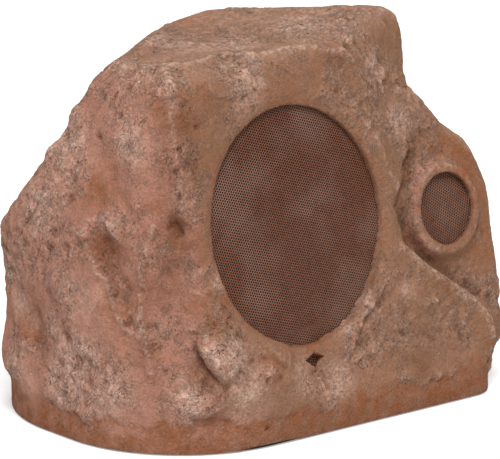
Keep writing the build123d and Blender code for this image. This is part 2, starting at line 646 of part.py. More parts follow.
# Woofer motor
plate_back = BASKET_SEAT + PLATE_THICK
magnet_back = plate_back + MAGNET_THICK
yoke_back = magnet_back + PLATE_THICK
nodes["woofer_top_plate"] = woofer_axis * ring(GAP_RADIUS, PLATE_RADIUS, -plate_back, -BASKET_SEAT)
nodes["woofer_magnet"] = woofer_axis * ring(MAGNET_BORE, MAGNET_RADIUS, -magnet_back, -plate_back)
nodes["woofer_yoke"] = woofer_axis * sunk([
    (POLE_VENT, BASKET_SEAT), (POLE_RADIUS, BASKET_SEAT), (POLE_RADIUS, magnet_back),
    (PLATE_RADIUS, magnet_back), (PLATE_RADIUS, yoke_back), (POLE_VENT, yoke_back)])

# Woofer's moving pieces
coil_middle = BASKET_SEAT + PLATE_THICK / 2
nodes["woofer_coil_former"] = woofer_axis * ring(FORMER_INNER, FORMER_OUTER, -FORMER_BACK, -FORMER_FRONT)
nodes["woofer_voice_coil"] = woofer_axis * ring(
    FORMER_OUTER, COIL_OUTER, -coil_middle - COIL_LENGTH / 2, -coil_middle + COIL_LENGTH / 2)
neck_radius = FORMER_OUTER + GLUE_GAP
nodes["woofer_cone"] = woofer_axis * sunk([
    (lip_inner, frame_face), (lip_outer, frame_face), (lip_outer, frame_face + CONE_THICK),
    (lip_inner + CONE_THICK, frame_face + CONE_THICK),
    (neck_radius + CONE_THICK, CONE_NECK + CONE_THICK), (neck_radius, CONE_NECK + CONE_THICK),
    (neck_radius, CONE_NECK)])
cone_fall = (CONE_NECK - frame_face) / (lip_inner - neck_radius)
cap_rim = CONE_NECK - (CAP_RADIUS - neck_radius) * cone_fall - GLUE_GAP
cap_ball = (CAP_RADIUS ** 2 + CAP_RISE ** 2) / (2 * CAP_RISE)
ball = Pos(0, 0, CAP_RISE - cap_rim - cap_ball) * (Sphere(cap_ball) - Sphere(cap_ball - CAP_THICK))
nodes["woofer_dust_cap"] = woofer_axis * ball.split(Plane(origin=(0, 0, -cap_rim)), keep=Keep.TOP)

# Woofer's flexing pieces: the half-roll surround and the corrugated spider
roll_middle = (lip_outer + roll_outer) / 2
roll_radius = (roll_outer - lip_outer) / 2
skin = SURROUND_THICK
seat_line_face = GLUE_GAP - frame_face
upper = skin + seat_line_face
nodes["woofer_surround"] = woofer_axis * spun(
    Line((lip_inner, seat_line_face), (lip_inner, upper)),
    Line((lip_inner, upper), (roll_middle - roll_radius, upper)),
    ThreePointArc((roll_middle - roll_radius, upper),
                  (roll_middle, upper + roll_radius),
                  (roll_middle + roll_radius, upper)),
    Line((roll_middle + roll_radius, upper), (surround_outer, upper)),
    Line((surround_outer, upper), (surround_outer, seat_line_face)),
    Line((surround_outer, seat_line_face), (roll_middle + roll_radius - skin, seat_line_face)),
    ThreePointArc((roll_middle + roll_radius - skin, seat_line_face),
                  (roll_middle, seat_line_face + roll_radius),
                  (roll_middle - roll_radius + skin, seat_line_face)),
    Line((roll_middle - roll_radius + skin, seat_line_face), (lip_inner, seat_line_face)))
wave_start = neck_radius + SPIDER_WAVE_DEPTH
wave_step = (SPIDER_LANDING - wave_start) / (2 * SPIDER_WAVES)
ripple = [(neck_radius, 0), (wave_start, 0)]
for i in range(2 * SPIDER_WAVES):
    ripple.append((wave_start + (i + 1 / 2) * wave_step, SPIDER_WAVE_DEPTH / 2 * (-1) ** i))
ripple += [(SPIDER_LANDING, 0), (SPIDER_OUTER, 0)]
spider_seat = SPIDER_SHELF - GLUE_GAP
spider_front = [(radius, rise + SPIDER_THICK - spider_seat) for radius, rise in ripple]
spider_rear = [(radius, rise - spider_seat) for radius, rise in reversed(ripple)]
nodes["woofer_spider"] = woofer_axis * turned(spider_front + spider_rear)

# Solder strip on the spider shelf
strip_seat = SPIDER_SHELF + FRAME_THICK
nodes["woofer_terminal"] = woofer_axis * Pos(0, -STRIP_RADIUS, -strip_seat) * inward * solder_strip()

# Tweeter grille, gasket and faceplate
mesh_back = TWEETER_MESH_FACE - GRILLE_THICK
face_front = mesh_back - TWEETER_GASKET_THICK
seat_fit = TWEETER_SEAT_RADIUS - REBATE_CLEARANCE
tweeter_border = TWEETER_OPENING - TWEETER_GRILLE_HOLE / 2
tweeter_sheet = perforated(
    Circle(seat_fit), tweeter_border, tweeter_border, TWEETER_GRILLE_PITCH, TWEETER_GRILLE_HOLE)
nodes["tweeter_grille"] = tweeter_axis * slab(tweeter_sheet, mesh_back, TWEETER_MESH_FACE)
nodes["tweeter_gasket"] = tweeter_axis * ring(TWEETER_OPENING, seat_fit, face_front, mesh_back)
recess = DIAPHRAGM_RECESS - WALL
nodes["tweeter_faceplate"] = tweeter_axis * turned([
    (FLARE_RADIUS, face_front), (seat_fit, face_front), (seat_fit, -WALL), (DIAPHRAGM_SEAT, -WALL),
    (DIAPHRAGM_SEAT, recess), (THROAT_RADIUS, recess), (THROAT_RADIUS, recess + DIAPHRAGM_RECESS)])

# Tweeter diaphragm: dome, roll and rim pressed in one sheet
rim_top = recess - GLUE_GAP
rim_back = rim_top - DIAPHRAGM_THICK
rim_outer = DIAPHRAGM_SEAT - GLUE_GAP
dome_height = rim_top + DOME_RISE - rim_back
dome_ball = (DOME_RADIUS ** 2 + dome_height ** 2) / (2 * dome_height)
dome = Pos(0, 0, rim_top + DOME_RISE - dome_ball) * (Sphere(dome_ball) - Sphere(dome_ball - DIAPHRAGM_THICK))
diaphragm = dome.split(Plane(origin=(0, 0, rim_back)), keep=Keep.TOP)
roll_in = DOME_RADIUS - DIAPHRAGM_THICK
roll_out = THROAT_RADIUS
roll_at = (roll_in + roll_out) / 2
diaphragm += spun(
    ThreePointArc((roll_in, rim_back), (roll_at, rim_top + DIAPHRAGM_ROLL), (roll_out, rim_back)),
    Line((roll_out, rim_back), (roll_out - DIAPHRAGM_THICK, rim_back)),
    ThreePointArc((roll_out - DIAPHRAGM_THICK, rim_back), (roll_at, rim_back + DIAPHRAGM_ROLL),
                  (roll_in + DIAPHRAGM_THICK, rim_back)),
    Line((roll_in + DIAPHRAGM_THICK, rim_back), (roll_in, rim_back)))
diaphragm += ring(roll_out - DIAPHRAGM_THICK, rim_outer, rim_back, rim_top)
nodes["tweeter_diaphragm"] = tweeter_axis * diaphragm
coil_inner = DOME_RADIUS + GLUE_GAP
coil_top = rim_back - GLUE_GAP
nodes["tweeter_voice_coil"] = tweeter_axis * ring(
    coil_inner, coil_inner + TWEETER_COIL_THICK, coil_top - TWEETER_COIL_LENGTH, coil_top)

# Tweeter motor
tweeter_plate_back = -WALL - TWEETER_PLATE_THICK
tweeter_magnet_back = tweeter_plate_back - TWEETER_MAGNET_THICK
tweeter_yoke_back = tweeter_magnet_back - TWEETER_PLATE_THICK
nodes["tweeter_top_plate"] = tweeter_axis * ring(
    TWEETER_GAP_RADIUS, TWEETER_PLATE_RADIUS, tweeter_plate_back, -WALL)
nodes["tweeter_magnet"] = tweeter_axis * ring(
    TWEETER_MAGNET_BORE, TWEETER_MAGNET_RADIUS, tweeter_magnet_back, tweeter_plate_back)
pole_top = -WALL - LEAD_GAP
nodes["tweeter_yoke"] = tweeter_axis * turned([
    (0, pole_top), (TWEETER_POLE_RADIUS, pole_top), (TWEETER_POLE_RADIUS, tweeter_magnet_back),
    (TWEETER_PLATE_RADIUS, tweeter_magnet_back), (TWEETER_PLATE_RADIUS, tweeter_yoke_back),
    (0, tweeter_yoke_back)])
clamp = ring(CLAMP_INNER, CLAMP_OUTER, -WALL - CLAMP_THICK, -WALL)
clamp -= [spot * drilled(SMALL_SCREW, SCREW_CLEARANCE, -WALL - CLAMP_THICK, -WALL) for spot in clamp_spots]
nodes["tweeter_clamp_ring"] = tweeter_axis * clamp
clamp_screw = pan_screw(SMALL_SCREW, CLAMP_THICK + CLAMP_SCREW_BITE)
nodes["tweeter_screws"] = group(
    tweeter_axis * spot * Pos(0, 0, -WALL - CLAMP_THICK) * inward * clamp_screw for spot in clamp_spots)
nodes["tweeter_terminal"] = tweeter_axis * Pos(0, 0, tweeter_yoke_back) * inward * solder_strip()

# Crossover board and what stands on it
board = slab(Pos(*BOARD_AT) * Rectangle(BOARD_LENGTH, BOARD_WIDTH), post_top, board_top)
board -= [spot * drilled(BOARD_SCREW, SCREW_CLEARANCE, post_top, board_top) for spot in post_spots]
nodes["crossover_board"] = board
nodes["crossover_screws"] = group(
    spot * Pos(0, 0, board_top) * pan_screw(BOARD_SCREW, BOARD_SCREW_LENGTH) for spot in post_spots)


def wound_coil(spot, size):
    radius, height = size
    winding = radius - BOBBIN_FLANGE
    bore = radius * BOBBIN_BORE
    flange = height - BOBBIN_FLANGE
    coil = turned([(bore, 0), (radius, 0), (radius, BOBBIN_FLANGE), (winding, BOBBIN_FLANGE),
                   (winding, flange), (radius, flange), (radius, height), (bore, height)])
    return Pos(*spot, board_top) * coil


nodes["woofer_inductor"] = wound_coil(WOOFER_COIL_AT, WOOFER_COIL_SIZE)
nodes["tweeter_inductor"] = wound_coil(TWEETER_COIL_AT, TWEETER_COIL_SIZE)
capacitor = Rot(0, QUARTER_TURN, 0) * Cylinder(CAPACITOR_RADIUS, CAPACITOR_LENGTH)
nodes["crossover_capacitors"] = group(
    Pos(*CAPACITOR_AT, board_top + CAPACITOR_RADIUS) * spot * capacitor
    for spot in GridLocations(CAPACITOR_LENGTH, CAPACITOR_SPACING, 1, 2))
nodes["crossover_resistor"] = slab(
    Pos(*RESISTOR_AT) * Rectangle(*RESISTOR_SIZE[:2]), board_top, board_top + RESISTOR_SIZE[2])
way = BLOCK_SIZE[0] / BLOCK_WAYS
block_x = WOOFER_AT[0] + way * (BLOCK_WAYS - 1) / 2
block_top = board_top + BLOCK_SIZE[2]
block = slab(Pos(block_x, BLOCK_Y) * Rectangle(*BLOCK_SIZE[:2]), board_top, block_top)
way_hole = ring(0, LEAD_RADIUS + LEAD_GAP, block_top - BLOCK_HOLE_DEPTH, block_top)
ways = [Pos(block_x, BLOCK_Y) * spot for spot in GridLocations(way, way, BLOCK_WAYS, 1)]
block -= [spot * way_hole for spot in ways]
nodes["crossover_terminal_block"] = block

# Internal leads from the terminal block to the two drivers
lead_foot = block_top - BLOCK_HOLE_DEPTH + LEAD_GAP
spade_end = STRIP_SIZE[2] + SPADE_SIZE[2] + LEAD_GAP
woofer_end = woofer_axis.from_local_coords(Vector(0, -STRIP_RADIUS, -strip_seat - spade_end))
woofer_stub = woofer_axis.from_local_coords(Vector(0, -STRIP_RADIUS, -strip_seat - spade_end - LEAD_STUB))
nodes["woofer_lead"] = lead([
    woofer_end, woofer_stub,
    (WOOFER_AT[0], BLOCK_Y, block_top + LEAD_DROP / 2),
    (WOOFER_AT[0], BLOCK_Y, lead_foot)])
tweeter_end = tweeter_axis.from_local_coords(Vector(0, 0, tweeter_yoke_back - spade_end))
tweeter_stub = tweeter_axis.from_local_coords(Vector(0, 0, tweeter_yoke_back - spade_end - LEAD_STUB))
last_way = ways[-1].position
nodes["tweeter_lead"] = lead([
    tweeter_end, tweeter_stub,
    (last_way.X, last_way.Y, block_top + LEAD_DROP),
    (last_way.X, last_way.Y, lead_foot)])

os.makedirs("parts", exist_ok=True)
for name, shape in nodes.items():
    export_step(shape, f"parts/{name}.step")
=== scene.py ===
# %% [markdown]
# # A garden loudspeaker cast in the shape of a rock
# The real object is a hollow rock of cast resin and stone dust. A woofer looks out through a large
# perforated sheet, a tweeter through a small one in a raised collar, and a smooth band runs round the foot.
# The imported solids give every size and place. This lesson sculpts the casting's skin, punches the two
# sheets hole by hole, and gives each surface its finish.

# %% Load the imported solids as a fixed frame
import json
import math

import bmesh
import bpy
import numpy as np
from mathutils import Matrix, Vector, noise
from mathutils.bvhtree import BVHTree
from mathutils.geometry import convex_hull_2d
from mathutils.kdtree import KDTree


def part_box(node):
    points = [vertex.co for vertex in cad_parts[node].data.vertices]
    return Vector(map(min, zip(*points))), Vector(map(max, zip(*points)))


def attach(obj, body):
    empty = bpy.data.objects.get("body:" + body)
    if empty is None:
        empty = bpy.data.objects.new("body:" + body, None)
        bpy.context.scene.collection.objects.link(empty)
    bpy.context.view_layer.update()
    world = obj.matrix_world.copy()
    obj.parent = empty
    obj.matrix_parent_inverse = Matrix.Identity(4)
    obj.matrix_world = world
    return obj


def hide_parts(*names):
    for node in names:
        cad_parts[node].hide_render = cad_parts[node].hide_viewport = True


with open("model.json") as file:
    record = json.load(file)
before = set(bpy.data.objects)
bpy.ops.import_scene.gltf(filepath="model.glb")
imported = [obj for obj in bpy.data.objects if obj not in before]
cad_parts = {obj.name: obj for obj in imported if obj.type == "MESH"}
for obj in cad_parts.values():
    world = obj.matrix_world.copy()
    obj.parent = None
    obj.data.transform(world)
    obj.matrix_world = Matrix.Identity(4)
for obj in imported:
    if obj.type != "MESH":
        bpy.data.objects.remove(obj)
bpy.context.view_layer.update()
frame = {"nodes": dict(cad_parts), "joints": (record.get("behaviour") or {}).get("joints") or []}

MM = 0.001
nodes = frame["nodes"]

# %% [markdown]
# ## The photograph's view
# The camera comes first, because the sculpting below is drawn through it: a ridge is listed as a few pixels
# of the photograph, and a ray from the camera through each pixel finds its place on the rock. Sculpting by
# hand would do as well, but it couldn't be run again.

# %% Place the camera where the photographer stood
PHOTO_WIDTH = 500
PHOTO_HEIGHT = 459
VIEW_BEARING = math.radians(-40.4)
VIEW_RISE = math.radians(12.0)
VIEW_PLACE = Vector((-1.4553, -1.7436, 0.6325))
VIEW_FOCAL = 2610

view_right = Vector((math.cos(VIEW_BEARING), math.sin(VIEW_BEARING), 0))
view_back = Vector((
    math.sin(VIEW_BEARING) * math.cos(VIEW_RISE),
    -math.cos(VIEW_BEARING) * math.cos(VIEW_RISE),
    math.sin(VIEW_RISE),
))
view_up = view_back.cross(view_right)

lens = bpy.data.cameras.new("photograph_view")
lens.lens = VIEW_FOCAL / PHOTO_WIDTH * lens.sensor_width
camera = bpy.data.objects.new("photograph_view", lens)
turn = Matrix((view_right, view_up, view_back)).transposed()
camera.matrix_world = Matrix.Translation(VIEW_PLACE) @ turn.to_4x4()
bpy.context.scene.collection.objects.link(camera)
bpy.context.scene.camera = camera


def sight(pixel):
    across = (pixel[0] - PHOTO_WIDTH / 2) / VIEW_FOCAL
    down = (pixel[1] - PHOTO_HEIGHT / 2) / VIEW_FOCAL
    return (view_right * across - view_up * down - view_back).normalized()


print("lens in mm:", round(lens.lens, 1))

# %% [markdown]
# ## Small workshop tools
# A prism is enough for every plug and cutter, because all the openings are straight or tapered holes along
# the two loudspeaker axes, the gland's axis or the upright. Blender's manifold solver cuts closed meshes
# quickly and leaves them closed.

# %% Make pieces, prisms and cuts
def new_piece(name, points, faces):
    mesh = bpy.data.meshes.new(name)
    mesh.from_pydata([tuple(point) for point in points], [], faces)
    mesh.update()
    piece = bpy.data.objects.new(name, mesh)
    bpy.context.scene.collection.objects.link(piece)
    return piece


def prism(name, outline, place, near, far):
    count = len(outline)
    points = [place @ Vector((x, y, level)) for level in (near, far) for x, y in outline]
    sides = [(i, (i + 1) % count, (i + 1) % count + count, i + count) for i in range(count)]
    caps = [tuple(reversed(range(count))), tuple(range(count, 2 * count))]
    return new_piece(name, points, sides + caps)


def oval(half_width, half_height, middle=(0, 0), count=128):
    angles = [math.tau * i / count for i in range(count)]
    return [(middle[0] + half_width * math.cos(a), middle[1] + half_height * math.sin(a)) for a in angles]


def keep_modified(piece):
    view = bpy.context.evaluated_depsgraph_get()
    finished = bpy.data.meshes.new_from_object(piece.evaluated_get(view))
    piece.modifiers.clear()
    piece.data = finished


def combine(piece, tool, operation):
    cut = piece.modifiers.new("cut", "BOOLEAN")
    cut.operation = operation
    cut.solver = "MANIFOLD"
    cut.object = tool
    keep_modified(piece)
    bpy.data.objects.remove(tool)


def read(mesh, kind, values):
    found = np.zeros(len(mesh.vertices) * 3)
    getattr(mesh, kind).foreach_get(values, found)
    return found.reshape(-1, 3)


# %% [markdown]
# ## Where the two loudspeakers look out
# The axes are read from the frame, so the pieces here follow the solids if they change. The woofer's cone
# slides along the joint's axis, and both sheets face the same way. Local x runs to the right and local y up
# the face.

# %% Find the loudspeaker axes
RIM_DEPTH = 5 * MM
COLLAR_RIM = 4 * MM


def face_place(node, outward):
    points = read(nodes[node].data, "vertices", "co")
    low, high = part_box(node)
    middle = (low + high) / 2
    level = max(points @ np.array(outward))
    origin = middle + outward * (level - middle.dot(outward))
    right = Vector((1, 0, 0))
    turned = Matrix((right, outward.cross(right), outward)).transposed()
    return Matrix.Translation(origin) @ turned.to_4x4()


outward = Vector(frame["joints"][0]["axis"]).normalized()
tweeter_place = face_place("tweeter_grille", outward)
sheet_place = face_place("woofer_grille", outward)
gasket_low, gasket_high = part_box("woofer_gasket")
axis_point = (gasket_low + gasket_high) / 2
sheet_level = sheet_place.translation.dot(outward)
woofer_origin = axis_point + outward * (sheet_level + RIM_DEPTH - axis_point.dot(outward))
woofer_place = Matrix.Translation(woofer_origin) @ sheet_place.to_3x3().to_4x4()
print("woofer's face at", [round(x / MM, 1) for x in woofer_origin])
print("tweeter's sheet at", [round(x / MM, 1) for x in tweeter_place.translation])

# %% [markdown]
# ## Close the casting's holes
# The solid rock shell has flat hewn facets, a hollow inside and openings. Its skin is sculpted as one
# closed stone, so plugs close the openings first. The closed shell then falls apart in two surfaces: the
# outer skin, to be sculpted, and the hollow, which keeps the solid's own seats, bosses and pilot holes.

# %% Plug the openings
OPENING_HALF_WIDTH = 95 * MM
OPENING_HALF_HEIGHT = 102 * MM
DRAIN_AT = (-2.7 * MM, -117.3 * MM)
DRAIN_REACH = 10 * MM
TWEETER_OPENING = 32.5 * MM
GLAND_HOLE = 7.9 * MM
GLAND_PAD = 12 * MM
PLUG_LAP = 1.5 * MM
PLUG_SKIN = 0.2 * MM
FOOT_LEVEL = 0.6 * MM
FOOT_PLUG = 6 * MM
WELD = 0.001 * MM
QUARTER_TURN = math.pi / 2


def welded_copy(node):
    mesh = nodes[node].data.copy()
    work = bmesh.new()
    work.from_mesh(mesh)
    bmesh.ops.remove_doubles(work, verts=work.verts, dist=WELD)
    work.to_mesh(mesh)
    work.free()
    piece = bpy.data.objects.new(node + "_copy", mesh)
    bpy.context.scene.collection.objects.link(piece)
    return piece


plate_points = read(nodes["base_plate"].data, "vertices", "co")
plate_rim = [Vector((x, y)) for x, y, z in plate_points if z < FOOT_LEVEL / 2]
plate_rim = [plate_rim[i] for i in convex_hull_2d(plate_rim)]
grow = 1 + PLUG_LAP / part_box("base_plate")[1].y
foot_outline = [(point.x * grow, point.y * grow) for point in plate_rim]
nut_low, nut_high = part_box("cable_gland_nut")
pad_back = Vector(((nut_low.x + nut_high.x) / 2, nut_high.y, (nut_low.z + nut_high.z) / 2))
gland_place = Matrix.Translation(pad_back) @ Matrix.Rotation(-QUARTER_TURN, 4, "X")

woofer_plug = oval(OPENING_HALF_WIDTH + PLUG_LAP, OPENING_HALF_HEIGHT + PLUG_LAP)
tweeter_plug = oval(TWEETER_OPENING + PLUG_LAP, TWEETER_OPENING + PLUG_LAP)
gland_plug = oval(GLAND_HOLE + PLUG_LAP, GLAND_HOLE + PLUG_LAP)
drain_plug = oval(DRAIN_REACH, DRAIN_REACH, DRAIN_AT)
plugs = [
    prism("woofer_plug", woofer_plug, woofer_place, PLUG_SKIN - RIM_DEPTH, -PLUG_SKIN),
    prism("drain_plug", drain_plug, woofer_place, PLUG_SKIN - RIM_DEPTH, -PLUG_SKIN),
    prism("tweeter_plug", tweeter_plug, tweeter_place, PLUG_SKIN, COLLAR_RIM - PLUG_SKIN),
    prism("gland_plug", gland_plug, gland_place, PLUG_SKIN, GLAND_PAD - PLUG_SKIN),
    prism("foot_plug", foot_outline, Matrix(), FOOT_LEVEL - FOOT_PLUG, FOOT_LEVEL + PLUG_SKIN),
]
stone = welded_copy("rock_shell")
for plug in plugs:
    combine(stone, plug, "UNION")
print("plugs joined:", len(plugs), "faces of the closed shell:", len(stone.data.polygons))

# %% Part the outer skin from the hollow
bpy.ops.object.select_all(action="DESELECT")
stone.select_set(True)
bpy.context.view_layer.objects.active = stone
bpy.ops.mesh.separate(type="LOOSE")
shells = sorted(bpy.context.selected_objects, key=lambda piece: piece.dimensions.x)
rock = shells[-1]
hollow = shells[-2]
hollow.data.flip_normals()
rock.name = rock.data.name = "rock_casting"
hollow.name = "rock_hollow"
print("surfaces found:", [(piece.name, len(piece.data.polygons)) for piece in shells])

# %% [markdown]
# ## An even skin to sculpt
# Sculpting needs faces of one size, and the hewn facets are long triangles. A voxel remesh lays an even net
# of small quads over them. Letting each point settle towards its neighbours then wears the hewn edges
# round, as casting and weather do. The tweeter's collar and the foot keep their edges.

# %% Remesh the skin and wear its edges round
SKIN_MESH = 2.5 * MM
WEAR_ROUNDS = 36
LIGHT_ROUNDS = 3
COLLAR_REACH = 44 * MM
COLLAR_EDGE = 6 * MM
COLLAR_BACK = (-20 * MM, -12 * MM)
FOOT_EDGE = (4 * MM, 12 * MM)

net = rock.modifiers.new("net", "REMESH")
net.mode = "VOXEL"
net.voxel_size = SKIN_MESH
keep_modified(rock)
links = np.zeros(len(rock.data.edges) * 2, int)
rock.data.edges.foreach_get("vertices", links)
link_from, link_to = links.reshape(-1, 2).T
ends = np.concatenate((link_from, link_to))
starts = np.concatenate((link_to, link_from))
neighbours = np.bincount(ends)


def settled(values, rounds):
    for _ in range(rounds):
        pulled = [np.bincount(ends, weights=column[starts]) / neighbours for column in values.T]
        values = (values + np.stack(pulled, axis=1)) / 2
    return values


def eased(low, high, values):
    share = np.clip((values - low) / (high - low), 0, 1)
    return share * share * (3 - 2 * share)


def local(place, points):
    turn = np.array(place.to_3x3())
    return (points - np.array(place.translation)) @ turn


hewn = read(rock.data, "vertices", "co")
from_tweeter = local(tweeter_place, hewn)
tweeter_radius = np.hypot(from_tweeter[:, 0], from_tweeter[:, 1])
on_collar = 1 - eased(COLLAR_REACH - COLLAR_EDGE, COLLAR_REACH, tweeter_radius)
on_collar *= eased(*COLLAR_BACK, from_tweeter[:, 2])
near_foot = 1 - eased(*FOOT_EDGE, hewn[:, 2])
held = np.maximum(on_collar, near_foot)[:, None]
worn = settled(hewn, WEAR_ROUNDS) * (1 - held) + settled(hewn, LIGHT_ROUNDS) * held
rock.data.vertices.foreach_set("co", worn.ravel())
rock.data.update()
print("skin points:", len(worn), "most wear in mm:", round(np.abs(worn - hewn).max() / MM, 1))

# %% [markdown]
# ## Ridges, clefts and hollows
# These are the forms that give the rock its face. Each is drawn as a line or a spot in the photograph's
# pixels, with its width and height as real millimetres, and all are added up in one lift of the skin along
# its normals. A crest is a sharp ridge, and a ledge is a step with a high and a low side. A brush in sculpt
# mode works in the same way, but its strokes can't be read again or changed by a number.

# %% Trace pixels on to the skin
PIXEL_STEP = 3
END_SHARE = 0.2

normals = settled(read(rock.data, "vertex_normals", "vector"), LIGHT_ROUNDS)
normals /= np.linalg.norm(normals, axis=1)[:, None]
faces = [tuple(face.vertices) for face in rock.data.polygons]
worn_tree = BVHTree.FromPolygons([tuple(point) for point in worn], faces)


def traced(pixels):
    spots = []
    for (x0, y0), (x1, y1) in zip(pixels, pixels[1:]):
        steps = max(1, round(math.hypot(x1 - x0, y1 - y0) / PIXEL_STEP))
        spots += [(x0 + (x1 - x0) * i / steps, y0 + (y1 - y0) * i / steps) for i in range(steps)]
    hits = [worn_tree.ray_cast(VIEW_PLACE, sight(spot)) for spot in [*spots, pixels[-1]]]
    line = np.array([hit[0] for hit in hits if hit[0] is not None])
    facing = np.array([hit[1] for hit in hits if hit[0] is not None])
    return line, facing


def beside(pixels, reach):
    line, facing = traced(pixels)
    inside = np.all((worn > line.min(0) - reach) & (worn < line.max(0) + reach), axis=1)
    near = np.flatnonzero(inside)
    away = worn[near][:, None, :] - line[None, :, :]
    distance = np.linalg.norm(away, axis=2)
    closest = distance.argmin(axis=1)
    along = np.gradient(line, axis=0) if len(line) > 1 else np.zeros_like(line)
    across = np.cross(facing, along)[closest]
    offset = np.take_along_axis(away, closest[:, None, None], axis=1)[:, 0]
    side = np.sign(np.sum(across * offset, axis=1))
    from_end = np.minimum(closest, len(line) - 1 - closest) / len(line)
    return near, distance.min(axis=1), side * eased(0, END_SHARE, from_end)


# %% Brushes that lift the skin
RIDGE_REACH = 3
CREST_REACH = 4

lift = np.zeros(len(worn))


def ridge(pixels, width, height):
    near, distance, _ = beside(pixels, RIDGE_REACH * width * MM)
    lift[near] += height * MM * np.exp(-(distance / (width * MM)) ** 2)


def crest(pixels, width, height):
    near, distance, _ = beside(pixels, CREST_REACH * width * MM)
    lift[near] += height * MM * np.exp(-distance / (width * MM))


def cleft(pixels, width, depth):
    ridge(pixels, width, -depth)


def ledge(pixels, edge, height, reach):
    near, distance, side = beside(pixels, RIDGE_REACH * reach * MM)
    step = np.abs(side) * eased(-edge * MM, edge * MM, np.sign(side) * distance)
    lift[near] += height * MM * step * np.exp(-(distance / (reach * MM)) ** 2)


def swell(pixel, radius, height):
    near, distance, _ = beside([pixel], radius * MM)
    lift[near] += height * MM * np.clip(1 - (distance / (radius * MM)) ** 2, 0, None) ** 2


def dent(pixel, radius, depth):
    swell(pixel, radius, -depth)


def lift_range():
    return [round(edge / MM, 1) for edge in (lift.min(), lift.max())]


# %% Left face: the arched hollow, the slanting edges and the soft valleys
ARCH_RIDGE = ((84, 234), (89, 252), (97, 273), (106, 279), (111, 295), (117, 313), (125, 329), (138, 335))
ARCH_TOP = ((84, 236), (89, 222), (97, 218), (105, 219), (111, 229), (121, 240))
ARCH_HOLLOW = (100, 244)
ARCH_FLOOR = ((106, 262), (114, 284), (120, 304), (126, 321))
SLANTING_EDGE = ((116, 175), (122, 186), (128, 195), (134, 206), (140, 218))
LEFT_VALLEY = ((100, 152), (95, 178), (96, 204))
LEFT_SWELL = ((75, 150), (62, 175), (50, 205), (40, 235))
LEFT_CRACK = ((39, 204), (34, 213), (26, 223))
LEFT_RIB = ((17, 297), (21, 325), (25, 345), (28, 380), (34, 397))
LEFT_PIT = (70, 338)
EDGE_KNOBS = ((78, 116), (54, 154))
EDGE_BITE = (68, 138)
LOW_SWELL = ((60, 280), (70, 310), (85, 345))
crest(ARCH_RIDGE, width=3, height=5.0)
crest(ARCH_TOP, width=3.5, height=2.8)
dent(ARCH_HOLLOW, radius=20, depth=4.5)
cleft(ARCH_FLOOR, width=9, depth=2.0)
ledge(SLANTING_EDGE, edge=6, height=2.2, reach=18)
crest(SLANTING_EDGE, width=2.5, height=1.4)
cleft(LEFT_VALLEY, width=11, depth=3.0)
ridge(LEFT_SWELL, width=12, height=3.0)
cleft(LEFT_CRACK, width=2.5, depth=2.4)
ridge(LEFT_RIB, width=9, height=2.5)
dent(LEFT_PIT, radius=9, depth=2.5)
for knob in EDGE_KNOBS:
    swell(knob, radius=15, height=4.5)
dent(EDGE_BITE, radius=9, depth=3.0)
ridge(LOW_SWELL, width=14, height=3.0)
print("lift in mm after the left face:", lift_range())

# %% Front left corner: a broken edge with chips, above and below a pocket
CORNER_EDGE = ((168, 72), (170, 100), (171, 121), (175, 150), (179, 172), (181, 196), (185, 213))
CORNER_POCKET = (176, 227)
LOWER_EDGE = ((153, 227), (147, 249), (141, 269), (141, 289), (142, 300), (139, 319), (144, 335),
              (147, 350), (151, 372))
POCKET_SILL = ((165, 246), (172, 252), (186, 255))
SCOOP_RIB = ((176, 318), (166, 335), (158, 352))
CORNER_CHIPS = ((142, 290), (180, 196), (181, 233), (176, 172), (178, 150), (166, 371), (122, 116),
                (100, 137))
crest(CORNER_EDGE, width=7, height=5.0)
dent(CORNER_POCKET, radius=12, depth=3.0)
crest(LOWER_EDGE, width=3.5, height=6.0)
ridge(POCKET_SILL, width=7, height=2.5)
ridge(SCOOP_RIB, width=8, height=2.0)
for chip in CORNER_CHIPS:
    dent(chip, radius=4, depth=3.5)
print("lift in mm after the front left corner:", lift_range())

# %% Top: a crisp rim with broken steps, and the notch
TOP_RIM = ((117, 66), (144, 72), (186, 70), (210, 62), (231, 56), (255, 58), (291, 52), (315, 49), (329, 52),
           (346, 53))
TOP_GROOVE = ((150, 67), (170, 63), (186, 64))
FACE_STEP = ((205, 98), (215, 96), (231, 98), (246, 96))
FACE_RIB = ((252, 60), (258, 74), (262, 88))
TOP_RIB = ((225, 22), (232, 36), (226, 50))
TOP_NOTCH = (348, 47)
BACK_RIM = ((296, 14), (330, 12), (360, 11), (380, 13))
BACK_CORNER = (389, 22)
FACET_EDGE = ((347, 56), (354, 67), (363, 87), (370, 98))
FLANK_EDGE = ((356, 112), (370, 133), (378, 149), (387, 173), (396, 186))
TOP_CHIPS = ((158, 66), (170, 62), (405, 90), (196, 128), (182, 106))
crest(TOP_RIM, width=4, height=4.5)
cleft(TOP_GROOVE, width=5, depth=2.0)
ledge(FACE_STEP, edge=2, height=2.0, reach=14)
ridge(FACE_RIB, width=6, height=2.0)
ridge(TOP_RIB, width=6, height=1.8)
dent(TOP_NOTCH, radius=9, depth=5.0)
ridge(BACK_RIM, width=16, height=4.0)
dent(BACK_CORNER, radius=14, depth=5.0)
crest(FACET_EDGE, width=4, height=3.5)
crest(FLANK_EDGE, width=4, height=3.5)
for chip in TOP_CHIPS:
    dent(chip, radius=4, depth=3.0)
print("lift in mm after the top:", lift_range())

